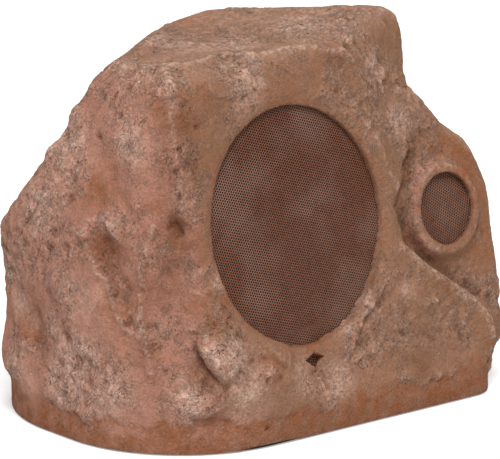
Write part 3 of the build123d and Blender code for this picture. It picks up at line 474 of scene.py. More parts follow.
# %% Right: the cleft round the collar and the long ridge of the toe
COLLAR_SEAM = ((437, 128), (421, 135), (411, 147), (408, 160))
COLLAR_CLEFT = ((408, 162), (405, 178), (401, 192), (399, 206), (402, 222), (409, 242), (418, 254))
TOE_RIDGE = ((398, 247), (417, 265), (434, 277), (458, 293), (472, 303), (485, 318), (490, 335))
TOE_CLEFT = ((424, 262), (446, 274), (470, 292))
RIM_STEP = ((386, 282), (381, 296), (366, 317), (359, 335), (352, 346))
TOE_RIB = ((404, 292), (420, 305), (432, 300))
TOE_GROOVE = ((395, 335), (412, 330), (432, 338))
TOE_FOLD = ((372, 352), (392, 345), (410, 352))
cleft(COLLAR_SEAM, width=4, depth=1.5)
cleft(COLLAR_CLEFT, width=6, depth=4.8)
ridge(TOE_RIDGE, width=6, height=5.0)
cleft(TOE_CLEFT, width=8, depth=4.0)
ledge(RIM_STEP, edge=3, height=-3.6, reach=12)
ridge(TOE_RIB, width=5, height=2.0)
cleft(TOE_GROOVE, width=4, depth=2.0)
ridge(TOE_FOLD, width=6, height=2.0)
print("lift in mm after the right:", lift_range())

# %% Low front: the cleft, the pale lump, the dome and the tongue
LUMP_CLEFT = ((196, 336), (198, 348), (203, 362), (213, 374), (226, 388))
LUMP_EDGE = ((194, 334), (198, 350), (205, 364), (215, 377), (228, 391))
LUMP = (226, 352)
PALE_LUMP = (255, 386)
DOME = (268, 371)
DOME_GROOVE = ((253, 361), (262, 357), (274, 359), (284, 368))
RIM_GROOVE = ((228, 326), (234, 333), (244, 338))
POST = ((165, 370), (178, 390), (195, 410))
TONGUE_EDGE = ((342, 391), (325, 390), (316, 371))
DOME_PITS = ((265, 379), (280, 378))
BAND_PIT = (268, 429)
cleft(LUMP_CLEFT, width=4, depth=4.0)
ledge(LUMP_EDGE, edge=2.5, height=5.0, reach=22)
swell(LUMP, radius=26, height=3.5)
swell(PALE_LUMP, radius=24, height=3.5)
swell(DOME, radius=13, height=3.0)
cleft(DOME_GROOVE, width=3, depth=2.4)
cleft(RIM_GROOVE, width=2.5, depth=2.0)
ridge(POST, width=12, height=3.5)
ledge(TONGUE_EDGE, edge=2, height=2.8, reach=16)
for pit in DOME_PITS:
    dent(pit, radius=4, depth=3.0)
dent(BAND_PIT, radius=3.5, depth=4.5)
print("lift in mm after the low front:", lift_range())

# %% [markdown]
# ## Rough and smooth stone
# The casting has rough flaky patches between smoother ones. Layers of coherent noise give both: a slow
# swelling everywhere, and a fine ridged one that a patchy mask turns on and off. The foot band, the collar,
# the gland's pad and the lip round the woofer stay smooth, as they do on the real casting. Noise is worked
# out from each point's place, so every run gives the same stone. A spot in a list is its radius in
# millimetres and its pixel.

# %% Mark the rough and the smooth places
ROUGH_SPOTS = (
    (26, (45, 180)), (24, (40, 205)), (30, (90, 375)), (24, (60, 350)), (22, (130, 140)), (24, (225, 352)),
    (22, (190, 398)), (20, (400, 330)), (20, (440, 315)), (22, (372, 80)), (30, (230, 40)), (30, (300, 30)),
    (18, (165, 330)), (20, (365, 320)), (18, (150, 250)), (16, (182, 160)), (20, (25, 250)), (14, (410, 215)),
)
SMOOTH_SPOTS = (
    (26, (200, 150)), (24, (205, 115)), (28, (270, 88)), (14, (268, 371)), (20, (95, 190)), (16, (100, 245)),
    (18, (120, 180)), (18, (478, 200)), (20, (215, 330)), (20, (205, 300)), (22, (37, 330)), (16, (174, 112)),
    (16, (400, 130)), (14, (455, 150)), (12, (99, 424)),
)
PATCH_EDGE = (-0.12, 0.3)
SPOT_HOLD = 0.9
SPOT_REACH = 2
NOISE_FADE = 1.0
NOISE_STEP = 2.0


def stone_noise(size, octaves, shift):
    spots = worn / (size * MM) + shift
    return np.array([noise.fractal(spot, NOISE_FADE, NOISE_STEP, octaves) for spot in spots.tolist()])


def spotted(spots):
    total = np.zeros(len(worn))
    for radius, pixel in spots:
        near, distance, _ = beside([pixel], SPOT_REACH * radius * MM)
        total[near] = np.maximum(total[near], np.exp(-(distance / (radius * MM)) ** 2))
    return total


smooth = spotted(SMOOTH_SPOTS)
patch = eased(*PATCH_EDGE, stone_noise(size=48, octaves=2, shift=11.7))
patch = np.clip(patch * (1 - SPOT_HOLD * smooth) + SPOT_HOLD * spotted(ROUGH_SPOTS), 0, 1)
print("rough share of the skin:", round(patch.mean(), 2))

# %% Keep the band, the lip, the collar and the pad calm
BAND_TOP = (24 * MM, 31 * MM)
BAND_WOBBLE = 16 * MM
RIM_MIDDLE = (-1.5 * MM, -2.5 * MM)
LIP_WIDTH = 7 * MM
FRONT_DEPTH = (-30 * MM, -12 * MM)
PAD_REACH = 22 * MM
PAD_EDGE = 6 * MM
BAND_CALM = 0.93
LIP_CALM = 0.75
COLLAR_CALM = 0.8

wobble = stone_noise(size=30, octaves=4, shift=17.2)
on_band = 1 - eased(*BAND_TOP, worn[:, 2] + BAND_WOBBLE * wobble)
from_woofer = local(woofer_place, worn)
from_rim = from_woofer[:, :2] - np.array(RIM_MIDDLE)
share = np.hypot(from_rim[:, 0] / OPENING_HALF_WIDTH, from_rim[:, 1] / OPENING_HALF_HEIGHT)
past_edge = (share - 1) * (OPENING_HALF_WIDTH + OPENING_HALF_HEIGHT) / 2
on_front = eased(*FRONT_DEPTH, from_woofer[:, 2])
on_lip = np.exp(-np.clip(past_edge / LIP_WIDTH, -1, None) ** 2) * on_front
from_gland = np.linalg.norm((worn - np.array(pad_back))[:, [0, 2]], axis=1)
on_pad = (1 - eased(PAD_REACH - PAD_EDGE, PAD_REACH, from_gland)) * (worn[:, 1] > 0)
calm = (1 - BAND_CALM * on_band) * (1 - LIP_CALM * on_lip) * (1 - COLLAR_CALM * on_collar) * (1 - on_pad)
print("share of the skin that noise may move:", round(calm.mean(), 2))

# %% Roughen the skin
SWELLING = 2.6 * MM
FLAKES = 1.8 * MM
LEAST_FLAKES = 0.25
FLAKE_LEVEL = 0.5
GRAIN = 0.7 * MM
LEAST_GRAIN = 0.4
CRUST = 1.4 * MM
LIP_ROUND = 2.4 * MM
LOWEST = -6.5 * MM
HIGHEST = 7 * MM

slow = stone_noise(size=75, octaves=3, shift=3.1)
flake = 1 - 2 * np.abs(stone_noise(size=16, octaves=4, shift=5.3))
grain = stone_noise(size=7, octaves=2, shift=8.9)
flaked = FLAKES * (LEAST_FLAKES + (1 - LEAST_FLAKES) * patch) * (flake - FLAKE_LEVEL)
grained = GRAIN * (LEAST_GRAIN + patch) * grain
lift *= (1 - on_pad) * (1 - COLLAR_CALM * on_collar)
lift += calm * SWELLING * slow + CRUST * (1 - on_band)
lift += calm * (flaked + grained)
lift -= LIP_ROUND * on_lip * np.exp(-np.abs(past_edge) / LIP_WIDTH)
lift = np.clip(lift, LOWEST, HIGHEST)
sculpted = worn + normals * lift[:, None]
print("lift in mm with the noise:", lift_range())

# %% [markdown]
# ## A sound wall everywhere
# A cleft must not break through into the hollow. Each point of the skin looks for the nearest point of the
# hollow, and where the wall between them would be too thin, the skin moves out again. A point beside an
# edge of that face, or more than a few millimetres from it, is left alone: there the face belongs to a boss
# or a seat inside the foot, and a move to it would slit the skin.

# %% Keep the wall
THINNEST = 2.2 * MM
DEEPEST = 4 * MM
SEARCH_REACH = 12 * MM
STRAIGHT_SHARE = 0.7

hollow_points = [tuple(vertex.co) for vertex in hollow.data.vertices]
hollow_tree = BVHTree.FromPolygons(hollow_points, [tuple(face.vertices) for face in hollow.data.polygons])
mended = 0
for i, point in enumerate(sculpted.tolist()):
    place, facing, _, gap = hollow_tree.find_nearest(point, SEARCH_REACH)
    if place is None or point[2] < 2 * FOOT_LEVEL:
        continue
    wall = (Vector(point) - place).dot(facing)
    beside_edge = abs(wall) < STRAIGHT_SHARE * gap
    if not beside_edge and wall < THINNEST and gap < DEEPEST:
        sculpted[i] = place + facing * THINNEST
        mended += 1
rock.data.vertices.foreach_set("co", sculpted.ravel())
rock.data.update()
print("points moved to keep the wall:", mended)

# %% [markdown]
# ## Where the stone is pale, warm or dark
# The real casting is stained: pale dust on raised rough places and on what faces up, and a warm brown on
# smooth ones. The left face is pink, partly its own tone and partly painted light from the left. The clefts,
# the hollows, a few pockets and the foot are darkened as painted shade. The sides that the photograph
# doesn't show get their pale patches where the stone is rough. All this is kept on the mesh as two colour
# attributes, so the material can blend its colours by them. A painted image would do the same, but it needs
# unwrapping and a file.

# %% Measure how far the skin is sunk or raised
CLOSE_ROUNDS = 8
WIDE_ROUNDS = 60
CLOSE_SINK = (0.25 * MM, 1.5 * MM)
CLOSE_RISE = (0.2 * MM, 1.2 * MM)
WIDE_FORM = (0.8 * MM, 4 * MM)
WIDE_SHARE = 0.6


def relief(rounds):
    return np.sum((sculpted - settled(sculpted, rounds)) * normals, axis=1)


close_relief = relief(CLOSE_ROUNDS)
wide_relief = relief(WIDE_ROUNDS)
# Where the skin lies below its neighbours, the material later darkens it: painted shade in clefts and
# hollows.
sunk = eased(*CLOSE_SINK, -close_relief) + eased(*WIDE_FORM, -wide_relief)
raised = eased(*CLOSE_RISE, close_relief) + WIDE_SHARE * eased(*WIDE_FORM, wide_relief)
print("mean sunk and raised shares:", round(sunk.mean(), 2), round(raised.mean(), 2))

# %% Note the stains and the painted light and shade on the skin
PALE_SPOTS = (
    (14, (54, 325)), (28, (76, 364)), (24, (110, 400)), (16, (190, 400)), (21, (246, 392)), (19, (230, 354)),
    (22, (40, 203)), (24, (70, 150)), (20, (130, 142)), (22, (200, 46)), (20, (236, 48)), (18, (336, 380)),
    (9, (112, 226)), (14, (373, 70)), (20, (17, 268)), (20, (84, 300)), (20, (86, 350)), (18, (62, 388)),
    (10, (366, 302)), (9, (346, 328)), (20, (300, 25)), (22, (20, 372)), (20, (170, 43)), (7, (405, 290)),
    (16, (24, 302)), (16, (248, 86)), (10, (221, 281)), (14, (303, 378)), (18, (396, 122)),
)
# Pockets and channels darkened as painted shade.
SHADED_SPOTS = (
    (13, (207, 388)), (20, (180, 250)), (16, (158, 290)), (20, (181, 168)), (12, (152, 352)),
    (15, (110, 262)), (14, (176, 128)), (12, (167, 272)), (10, (440, 280)), (10, (220, 396)),
    (13, (406, 178)), (13, (403, 206)), (13, (411, 236)), (12, (412, 152)), (12, (419, 365)), (8, (221, 336)),
)
WARM_SPOTS = (
    (24, (37, 330)), (13, (268, 371)), (20, (172, 112)), (34, (462, 165)), (14, (330, 50)), (18, (312, 346)),
    (16, (110, 245)), (20, (120, 300)), (18, (205, 372)), (20, (215, 310)), (20, (175, 228)), (16, (96, 190)),
    (20, (478, 240)), (16, (185, 20)), (14, (140, 50)),
)
# Painted shade at the foot: how high it reaches and how strong it is.
FOOT_SHADE_HEIGHT = 20 * MM
FOOT_SHADE = 0.5
SHADE = 0.8
FACING_AWAY = (-0.1, 0.3)
FACING_UP = (0.4, 0.95)
FACING_LEFT = (0.2, 0.8)
FRONT_SHARE = 0.3
UNSEEN_DUST = 0.5
UPPER_DUST = 0.4
SMOOTH_WARMTH = 0.25

unseen = 1 - eased(*FACING_AWAY, normals @ np.array(view_back))
dusty = spotted(PALE_SPOTS) + UNSEEN_DUST * unseen * patch + UPPER_DUST * eased(*FACING_UP, normals[:, 2])
warmed = np.maximum(spotted(WARM_SPOTS), on_band) + SMOOTH_WARMTH * (on_collar + on_lip + smooth)
# Pink on the left face: partly the stone's own tone, partly painted light from the left.
left_pink_and_light = eased(*FACING_LEFT, -normals[:, 0] - FRONT_SHARE * normals[:, 1])
# Painted shade: the stone is darker towards the bottom of the foot.
painted_foot_shade = 1 - eased(0, FOOT_SHADE_HEIGHT, sculpted[:, 2])
# Painted shade: clefts and hollows, the shaded pockets and the foot are darkened.
painted_shade = sunk + SHADE * spotted(SHADED_SPOTS) + FOOT_SHADE * painted_foot_shade
stains_and_painted_light = {
    "tone": (np.clip(dusty, 0, 1), np.clip(warmed, 0, 1), left_pink_and_light),
    "relief": (np.clip(painted_shade, 0, 1), np.clip(raised, 0, 1), patch * calm),
}
print("stained:", {name: [round(part.mean(), 2) for part in parts] for name, parts in stains_and_painted_light.items()})

# %% [markdown]
# ## Open the casting again
# The hollow is cut out, the foot is opened for the base plate, and the openings are cut through the skin.
# The drain's sides slant, so its cutter is wider in front than at the back, and a flat oval cuts the small
# gap under the foot. The real rim of the woofer's opening is ragged at the lower right, where the casting
# ran over the sheet, so that stretch of the cutter's outline is broken up by noise.

# %% Cut the hollow and the openings
DRAIN_BACK = ((-7.8, -117.1), (3.9, -126.9), (9.9, -116.6), (1.3, -112.6))
DRAIN_FRONT = ((-13.5, -116.5), (1.5, -128.0), (11.0, -116.0), (-1.5, -110.8))
DRAIN_LIP = 6 * MM
GAP_PIXEL = (268, 440)
GAP_SIZE = (36 * MM, 2.6 * MM)
GAP_DEPTH = 5 * MM
RAGGED_FROM = math.radians(-88)
RAGGED_TO = math.radians(-5)
RAGGED_EDGE = math.radians(14)
RAGGED_DEPTH = 4.4 * MM
EVEN_DEPTH = 0.5 * MM
EVEN_WAVES = 14 * MM
TEETH = 9 * MM
SMALL_TEETH = 3.5 * MM
SMALL_SHARE = 0.35
FOOT_SQUARE = ((-1, -1), (1, -1), (1, 1), (-1, 1))
CUT_PAST = 40 * MM
OUTLINE_POINTS = 480


def ragged_opening():
    outline = []
    for i in range(OUTLINE_POINTS):
        angle = math.tau * i / OUTLINE_POINTS - math.pi
        spot = Vector((OPENING_HALF_WIDTH * math.cos(angle), OPENING_HALF_HEIGHT * math.sin(angle), 0))
        broken = eased(RAGGED_FROM, RAGGED_FROM + RAGGED_EDGE, angle)
        broken *= 1 - eased(RAGGED_TO - RAGGED_EDGE, RAGGED_TO, angle)
        teeth = 0.5 + 0.5 * noise.noise(spot / TEETH) + SMALL_SHARE * noise.noise(spot / SMALL_TEETH)
        inset = EVEN_DEPTH * (1 + noise.noise(spot / EVEN_WAVES)) / 2 + RAGGED_DEPTH * broken * teeth
        outline.append(tuple((spot * (1 - inset / spot.length)).to_2d() + Vector(RIM_MIDDLE)))
    return outline


def tapered(name, back, front, place, near, far):
    piece = prism(name, back, place, near, far)
    for vertex, (x, y) in zip(piece.data.vertices[len(back):], front):
        vertex.co = place @ Vector((x, y, far))
    return piece


def in_mm(outline):
    return [(x * MM, y * MM) for x, y in outline]


gap_at = worn_tree.ray_cast(VIEW_PLACE, sight(GAP_PIXEL))[0]
gap_place = Matrix.Translation((gap_at.x, gap_at.y, FOOT_LEVEL)) @ Matrix.Rotation(QUARTER_TURN, 4, "X")
behind_rim = -RIM_DEPTH - PLUG_SKIN
combine(rock, hollow, "DIFFERENCE")
cutters = [
    prism("foot_cut", FOOT_SQUARE, Matrix(), -CUT_PAST, FOOT_LEVEL + 2 * PLUG_SKIN),
    prism("woofer_cut", ragged_opening(), woofer_place, behind_rim, CUT_PAST),
    tapered("drain_cut", in_mm(DRAIN_BACK), in_mm(DRAIN_FRONT), woofer_place, behind_rim, DRAIN_LIP),
    prism("tweeter_cut", oval(TWEETER_OPENING, TWEETER_OPENING), tweeter_place, -PLUG_SKIN, CUT_PAST),
    prism("foot_gap", oval(*GAP_SIZE), gap_place, -GAP_DEPTH, CUT_PAST),
    prism("gland_cut", oval(GLAND_HOLE, GLAND_HOLE), gland_place, -PLUG_SKIN, CUT_PAST),
]
for cutter in cutters:
    combine(rock, cutter, "DIFFERENCE")
print("openings cut:", len(cutters))

# %% Carry the stains and the painted light and shade over to the cut mesh
SHARP_ANGLE = math.radians(60)


def triangles(piece):
    return sum(len(face.vertices) - 2 for face in piece.data.polygons)


skin_tree = KDTree(len(sculpted))
for i, point in enumerate(sculpted):
    skin_tree.insert(point, i)
skin_tree.balance()
nearest = [skin_tree.find(vertex.co)[1] for vertex in rock.data.vertices]
for name, parts in stains_and_painted_light.items():
    colour_layer = rock.data.attributes.new(name, "FLOAT_COLOR", "POINT")
    values = np.stack([*parts, np.ones(len(sculpted))], axis=1)[nearest]
    colour_layer.data.foreach_set("color", values.ravel())
rock.data.shade_smooth()
rock.data.set_sharp_from_angle(angle=SHARP_ANGLE)
rock.data.materials.clear()
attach(rock, "enclosure")
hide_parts("rock_shell")
print("rock casting:", triangles(rock), "triangles")

# %% [markdown]
# ## The two perforated sheets
# Both sheets are steel with small six-sided holes in a staggered pattern. Cutting thousands of holes with
# booleans is slow, so the web between them is laid out directly: a bar between each hole and its neighbour,
# and a triangle where three bars meet. The corners of a hole are counted round it from 0 to 5. Solidify
# gives the sheet its thickness, and one cut trims it to its outline. Holes near the outline stay closed,
# which leaves the plain border that the gasket sits on.

# %% Lay out a perforated sheet
HOLE_PITCH = 2.55 * MM
HOLE_REACH = 1.17 * MM
SHEET_THICKNESS = 0.45 * MM
SHEET_BORDER = 2.2 * MM
ROW_RISE = math.sqrt(3) / 2
HOLE_CORNERS = 6


def punched_sheet(name, place, half_width, half_height, lie, closed):
    reach = math.ceil(math.hypot(half_width, half_height) / (HOLE_PITCH * ROW_RISE))
    along = Vector((math.cos(lie), math.sin(lie), 0)) * HOLE_PITCH
    turned = lie + math.tau / HOLE_CORNERS
    over = Vector((math.cos(turned), math.sin(turned), 0)) * HOLE_PITCH
    spokes = [math.tau * (corner + 0.5) / HOLE_CORNERS + lie for corner in range(HOLE_CORNERS)]
    spread_out = [Vector((math.cos(angle), math.sin(angle), 0)) * HOLE_REACH for angle in spokes]
    middles = {}
    first_corner = {}
    points = []
    for row in range(-reach, reach + 1):
        for column in range(-2 * reach, 2 * reach + 1):
            middle = along * column + over * row
            if abs(middle.x) < half_width + 2 * HOLE_PITCH and abs(middle.y) < half_height + 2 * HOLE_PITCH:
                middles[column, row] = middle
                first_corner[column, row] = len(points)
                points += [place @ (middle + corner) for corner in spread_out]
    faces = []
    for (column, row), here in first_corner.items():
        right = first_corner.get((column + 1, row))
        upper_right = first_corner.get((column, row + 1))
        upper_left = first_corner.get((column - 1, row + 1))
        if right is not None:
            faces.append((here + 5, right + 3, right + 2, here))
        if upper_right is not None:
            faces.append((here, upper_right + 4, upper_right + 3, here + 1))
        if upper_left is not None:
            faces.append((here + 1, upper_left + 5, upper_left + 4, here + 2))
        if right is not None and upper_right is not None:
            faces.append((here, right + 2, upper_right + 4))
        if upper_right is not None and upper_left is not None:
            faces.append((here + 1, upper_right + 3, upper_left + 5))
        if closed(middles[column, row].x, middles[column, row].y):
            faces.append(tuple(range(here, here + HOLE_CORNERS)))
    sheet = new_piece(name, points, faces)
    thicken = sheet.modifiers.new("thickness", "SOLIDIFY")
    thicken.thickness = SHEET_THICKNESS
    thicken.offset = -1
    keep_modified(sheet)
    return sheet


# %% Punch the woofer's sheet, with the tongue that shows in the drain
SHEET_HALF_WIDTH = 101 * MM
SHEET_HALF_HEIGHT = 108 * MM
TONGUE_HALF_WIDTH = 15 * MM
TONGUE_FOOT = -131 * MM
TONGUE_HEAD = -80 * MM
TRIM_PAST = 4 * MM
WOOFER_LIE = math.radians(-16.7)

tongue_middle = DRAIN_AT[0]
tongue = [
    (tongue_middle - TONGUE_HALF_WIDTH, TONGUE_FOOT), (tongue_middle + TONGUE_HALF_WIDTH, TONGUE_FOOT),
    (tongue_middle + TONGUE_HALF_WIDTH, TONGUE_HEAD), (tongue_middle - TONGUE_HALF_WIDTH, TONGUE_HEAD),
]


def woofer_border(x, y):
    in_oval = math.hypot(x / (SHEET_HALF_WIDTH - SHEET_BORDER), y / (SHEET_HALF_HEIGHT - SHEET_BORDER)) < 1
    between_sides = abs(x - tongue_middle) < TONGUE_HALF_WIDTH - SHEET_BORDER
    in_tongue = between_sides and TONGUE_FOOT + SHEET_BORDER < y < TONGUE_HEAD
    return not (in_oval or in_tongue)


sheet_front = woofer_place @ Matrix.Translation((0, 0, -RIM_DEPTH))
woofer_sheet = punched_sheet(
    "woofer_sheet", sheet_front, SHEET_HALF_WIDTH, -TONGUE_FOOT, WOOFER_LIE, woofer_border)
trim = prism("woofer_trim", oval(SHEET_HALF_WIDTH, SHEET_HALF_HEIGHT), sheet_front, -TRIM_PAST, TRIM_PAST)
combine(trim, prism("tongue_trim", tongue, sheet_front, -TRIM_PAST, TRIM_PAST), "UNION")
combine(woofer_sheet, trim, "INTERSECT")
print("woofer's sheet:", triangles(woofer_sheet), "triangles")

# %% Punch the tweeter's sheet
TWEETER_SHEET = 35.6 * MM
TWEETER_LIE = math.radians(-30)


def tweeter_border(x, y):
    return math.hypot(x, y) > TWEETER_SHEET - SHEET_BORDER


tweeter_sheet = punched_sheet(
    "tweeter_sheet", tweeter_place, TWEETER_SHEET, TWEETER_SHEET, TWEETER_LIE, tweeter_border)
trim = prism("tweeter_trim", oval(TWEETER_SHEET, TWEETER_SHEET), tweeter_place, -TRIM_PAST, TRIM_PAST)
combine(tweeter_sheet, trim, "INTERSECT")
print("tweeter's sheet:", triangles(tweeter_sheet), "triangles")
for sheet, node in ((woofer_sheet, "woofer_grille"), (tweeter_sheet, "tweeter_grille")):
    sheet.data.materials.clear()
    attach(sheet, "enclosure")
    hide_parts(node)

# %% [markdown]
# ## Tools for the finishes
# Every finish is a small net of shader nodes on the piece's own coordinates, so it has a true size in
# millimetres and needs no unwrapping. A few helpers keep the nets short: they add a node and fill its
# inputs, blend two colours, make noise of a given grain and spread it from nought to one, and turn a
# pattern into bumps.

# %% Start a finish, add nodes and blend colours
OPAQUE = (1,)


def new_finish(name):
    material = bpy.data.materials.new(name)
    material.use_nodes = True
    tree = material.node_tree
    return material, tree, tree.nodes["Principled BSDF"]


def feed(tree, socket, value):
    if isinstance(value, bpy.types.NodeSocket):
        tree.links.new(value, socket)
    else:
        socket.default_value = value


def add(tree, kind, inputs, **settings):
    made = tree.nodes.new("ShaderNode" + kind)
    for name, value in settings.items():
        setattr(made, name, value)
    for name, value in inputs.items():
        feed(tree, made.inputs[name], value)
    return made


def blended(tree, share, under, over, way="MIX"):
    mix = add(tree, "Mix", {}, data_type="RGBA", blend_type=way)
    sockets = {socket.identifier: socket for socket in mix.inputs}
    feed(tree, sockets["Factor_Float"], share)
    for name, colour in (("A_Color", under), ("B_Color", over)):
        feed(tree, sockets[name], colour + OPAQUE if isinstance(colour, tuple) else colour)
    return next(socket for socket in mix.outputs if socket.identifier == "Result_Color")


# %% Make noise, work out shares and raise bumps
NOISE_FINENESS = 0.6


def spread(tree, value, low, high, least=0.0, most=1.0):
    ends = {"Value": value, "From Min": low, "From Max": high, "To Min": least, "To Max": most}
    return add(tree, "MapRange", ends).outputs["Result"]


def cloudy(tree, grain, detail=4, twist=0.0):
    place = add(tree, "TexCoord", {}).outputs["Object"]
    look = {"Scale": 1 / (grain * MM), "Detail": detail, "Roughness": NOISE_FINENESS, "Distortion": twist}
    return add(tree, "TexNoise", {"Vector": place, **look}).outputs["Fac"]


def speckled(tree, grain, low, high, detail=4, least=0.0, most=1.0):
    return spread(tree, cloudy(tree, grain, detail), low, high, least, most)


def counted(tree, operation, one, other, clamped=False):
    made = add(tree, "Math", {}, operation=operation, use_clamp=clamped)
    feed(tree, made.inputs[0], one)
    feed(tree, made.inputs[1], other)
    return made.outputs["Value"]


def times(tree, one, other):
    return counted(tree, "MULTIPLY", one, other)


def plus(tree, one, other):
    return counted(tree, "ADD", one, other, clamped=True)


def bumped(tree, shader, pattern, strength, depth):
    bump = add(tree, "Bump", {"Height": pattern, "Strength": strength, "Distance": depth * MM})
    if shader.inputs["Normal"].links:
        feed(tree, bump.inputs["Normal"], shader.inputs["Normal"].links[0].from_socket)
    feed(tree, shader.inputs["Normal"], bump.outputs["Normal"])


# %% [markdown]
# ## The cast stone's finish
# The casting is resin and stone dust, stained brown and dry-brushed with a pale dust. The left face is pink,
# partly its own tone and partly painted light from the left. The net blends these colours by the stains and
# the painted shade kept on the mesh, breaks each blend up with noise, and darkens clefts, hollows, pockets
# and the foot as painted shade and the pits with dirt. The curled wrinkles of the rough places are thin lines
# where a twisted noise crosses its middle level: they are raised by bumps, and they catch the pale dust,
# which hardly reaches the pits.

# %% Read the stains and the painted light and shade, and draw the wrinkles and the pits
NOISE_MIDDLE = 0.5
WRINKLE_WIDTH = 0.055
PIT_LEVELS = (0.40, 0.30)
FULLY_WRINKLED = 0.6
FULLY_PITTED = 0.5
LEAST_TEXTURE = 0.25


def colour_attribute_parts(tree, name):
    colour = add(tree, "Attribute", {}, attribute_name=name).outputs["Color"]
    return add(tree, "SeparateColor", {"Color": colour}).outputs


stone_finish, tree, shader = new_finish("cast_stone")
pale, warm, pink_and_side_light = colour_attribute_parts(tree, "tone")
painted_shade_share, raised_share, rough_share = colour_attribute_parts(tree, "relief")
level = counted(tree, "SUBTRACT", cloudy(tree, grain=9, detail=5, twist=1.6), NOISE_MIDDLE)
wrinkle = spread(tree, counted(tree, "ABSOLUTE", level, 0.0), WRINKLE_WIDTH, 0.0)
wrinkle = times(tree, wrinkle, speckled(tree, grain=13, low=0.38, high=0.58))
wrinkle = times(tree, wrinkle, spread(tree, rough_share, 0.0, FULLY_WRINKLED, least=LEAST_TEXTURE))
pit = spread(tree, cloudy(tree, grain=4.5, detail=5, twist=0.8), *PIT_LEVELS)
pit = times(tree, pit, spread(tree, rough_share, 0.0, FULLY_PITTED, least=LEAST_TEXTURE))
print("stone nodes for the wrinkles and pits:", len(tree.nodes))

# %% Blend the stone's colours
BROWN = (0.280, 0.142, 0.082)
# Pale pink for the left face: partly its own tone, partly painted light.
PINK_AND_SIDE_LIGHT = (0.430, 0.200, 0.139)
WARM = (0.280, 0.104, 0.046)
DUST = (0.670, 0.440, 0.345)
# Dark colour for dirt in the pits and for painted shade.
DIRT_AND_SHADE = (0.135, 0.050, 0.023)
MOST_PINK_AND_SIDE_LIGHT = 0.85
ROUGH_DUST = 0.15
WRINKLE_DUST = 0.75
PIT_DUST = 0.15
DUSTLESS_PIT = 0.5
PIT_DIRT = 0.38
FLECK_STRENGTH = (0.16, 0.26)

# The left face's pink: partly the stone's own tone, partly painted light from the left.
pink_and_side_light_share = plus(
    tree, times(tree, pink_and_side_light, MOST_PINK_AND_SIDE_LIGHT), speckled(tree, grain=60, low=0.45, high=0.75, most=0.25))
colour = blended(tree, pink_and_side_light_share, BROWN, PINK_AND_SIDE_LIGHT)
warm_share = plus(tree, warm, speckled(tree, grain=40, low=0.55, high=0.75, most=0.5))
warm_share = times(tree, warm_share, speckled(tree, grain=14, low=0.3, high=0.6))
colour = blended(tree, warm_share, colour, WARM)
dust_share = plus(tree, pale, times(tree, rough_share, ROUGH_DUST))
dust_share = times(tree, dust_share, speckled(tree, grain=3, low=0.38, high=0.66, detail=6, least=0.25))
dust_share = times(tree, dust_share, speckled(tree, grain=16, low=0.32, high=0.58, least=0.35))
dust_share = plus(tree, dust_share, times(tree, wrinkle, WRINKLE_DUST))
brushed_on = times(tree, raised_share, speckled(tree, grain=5, low=0.4, high=0.65, most=0.65))
dust_share = plus(tree, dust_share, brushed_on)
dust_share = times(tree, dust_share, spread(tree, pit, 0.0, DUSTLESS_PIT, least=1.0, most=PIT_DUST))
colour = blended(tree, dust_share, colour, DUST)
# Painted shade in clefts, hollows, pockets and at the foot, and dark dirt in the pits.
dirt_and_shade_share = times(tree, painted_shade_share, speckled(tree, grain=9, low=0.25, high=0.6, least=0.2, most=0.65))
dirt_and_shade_share = plus(tree, dirt_and_shade_share, times(tree, pit, PIT_DIRT))
colour = blended(tree, dirt_and_shade_share, colour, DIRT_AND_SHADE)
fleck = speckled(tree, grain=1.7, low=0.3, high=0.7, least=-1.0)
fleck = times(tree, fleck, spread(tree, rough_share, 0.0, 1.0, *FLECK_STRENGTH))
colour = blended(tree, 1.0, colour, counted(tree, "ADD", fleck, 1.0), "MULTIPLY")
feed(tree, shader.inputs["Base Color"], colour)
print("stone nodes with the colours:", len(tree.nodes))

# %% Give the stone its dull, bumpy face
STONE_SPECULAR = 0.02

dullness = speckled(tree, grain=7, low=0.3, high=0.7, least=0.68, most=0.95)
feed(tree, shader.inputs["Roughness"], dullness)
shader.inputs["Specular IOR Level"].default_value = STONE_SPECULAR
lumps = speckled(tree, grain=6, low=0.2, high=0.8, detail=6)
grit = speckled(tree, grain=1.8, low=0.2, high=0.8)
bumped(tree, shader, lumps, strength=0.9, depth=1.5)
bumped(tree, shader, grit, strength=0.8, depth=1.2)
bumped(tree, shader, wrinkle, strength=1.0, depth=1.4)
bumped(tree, shader, spread(tree, pit, 1.0, 0.0), strength=0.9, depth=0.9)
rock.data.materials.append(stone_finish)
print("stone nodes in all:", len(tree.nodes))

# %% [markdown]
# ## Paint on the sheets
# The sheets are powder coated in brown. Faint pale clouds on the face are partly dust from the casting and
# partly a painted sheen, and the coat is worn a little lighter on some bars.

# %% Coat the sheets
PAINT = (0.176, 0.064, 0.034)
WORN_PAINT = (0.264, 0.110, 0.064)
# Pale colour for dust and a painted sheen.
DUST_AND_SHEEN_PAINT = (0.350, 0.200, 0.145)
PAINT_SPECULAR = 0.2

sheet_finish, tree, shader = new_finish("grille_paint")
colour = blended(tree, speckled(tree, grain=3, low=0.35, high=0.7), PAINT, WORN_PAINT)
# Pale clouds: partly dust, partly a painted sheen.
clouds = speckled(tree, grain=60, low=0.45, high=0.65, most=0.6)
feed(tree, shader.inputs["Base Color"], blended(tree, clouds, colour, DUST_AND_SHEEN_PAINT))
gloss = speckled(tree, grain=6, low=0.3, high=0.7, least=0.42, most=0.62)
feed(tree, shader.inputs["Roughness"], gloss)
shader.inputs["Specular IOR Level"].default_value = PAINT_SPECULAR
bumped(tree, shader, speckled(tree, grain=0.5, low=0.3, high=0.7), strength=0.3, depth=0.1)
woofer_sheet.data.materials.append(sheet_finish)
tweeter_sheet.data.materials.append(sheet_finish)
print("paint nodes:", len(tree.nodes))

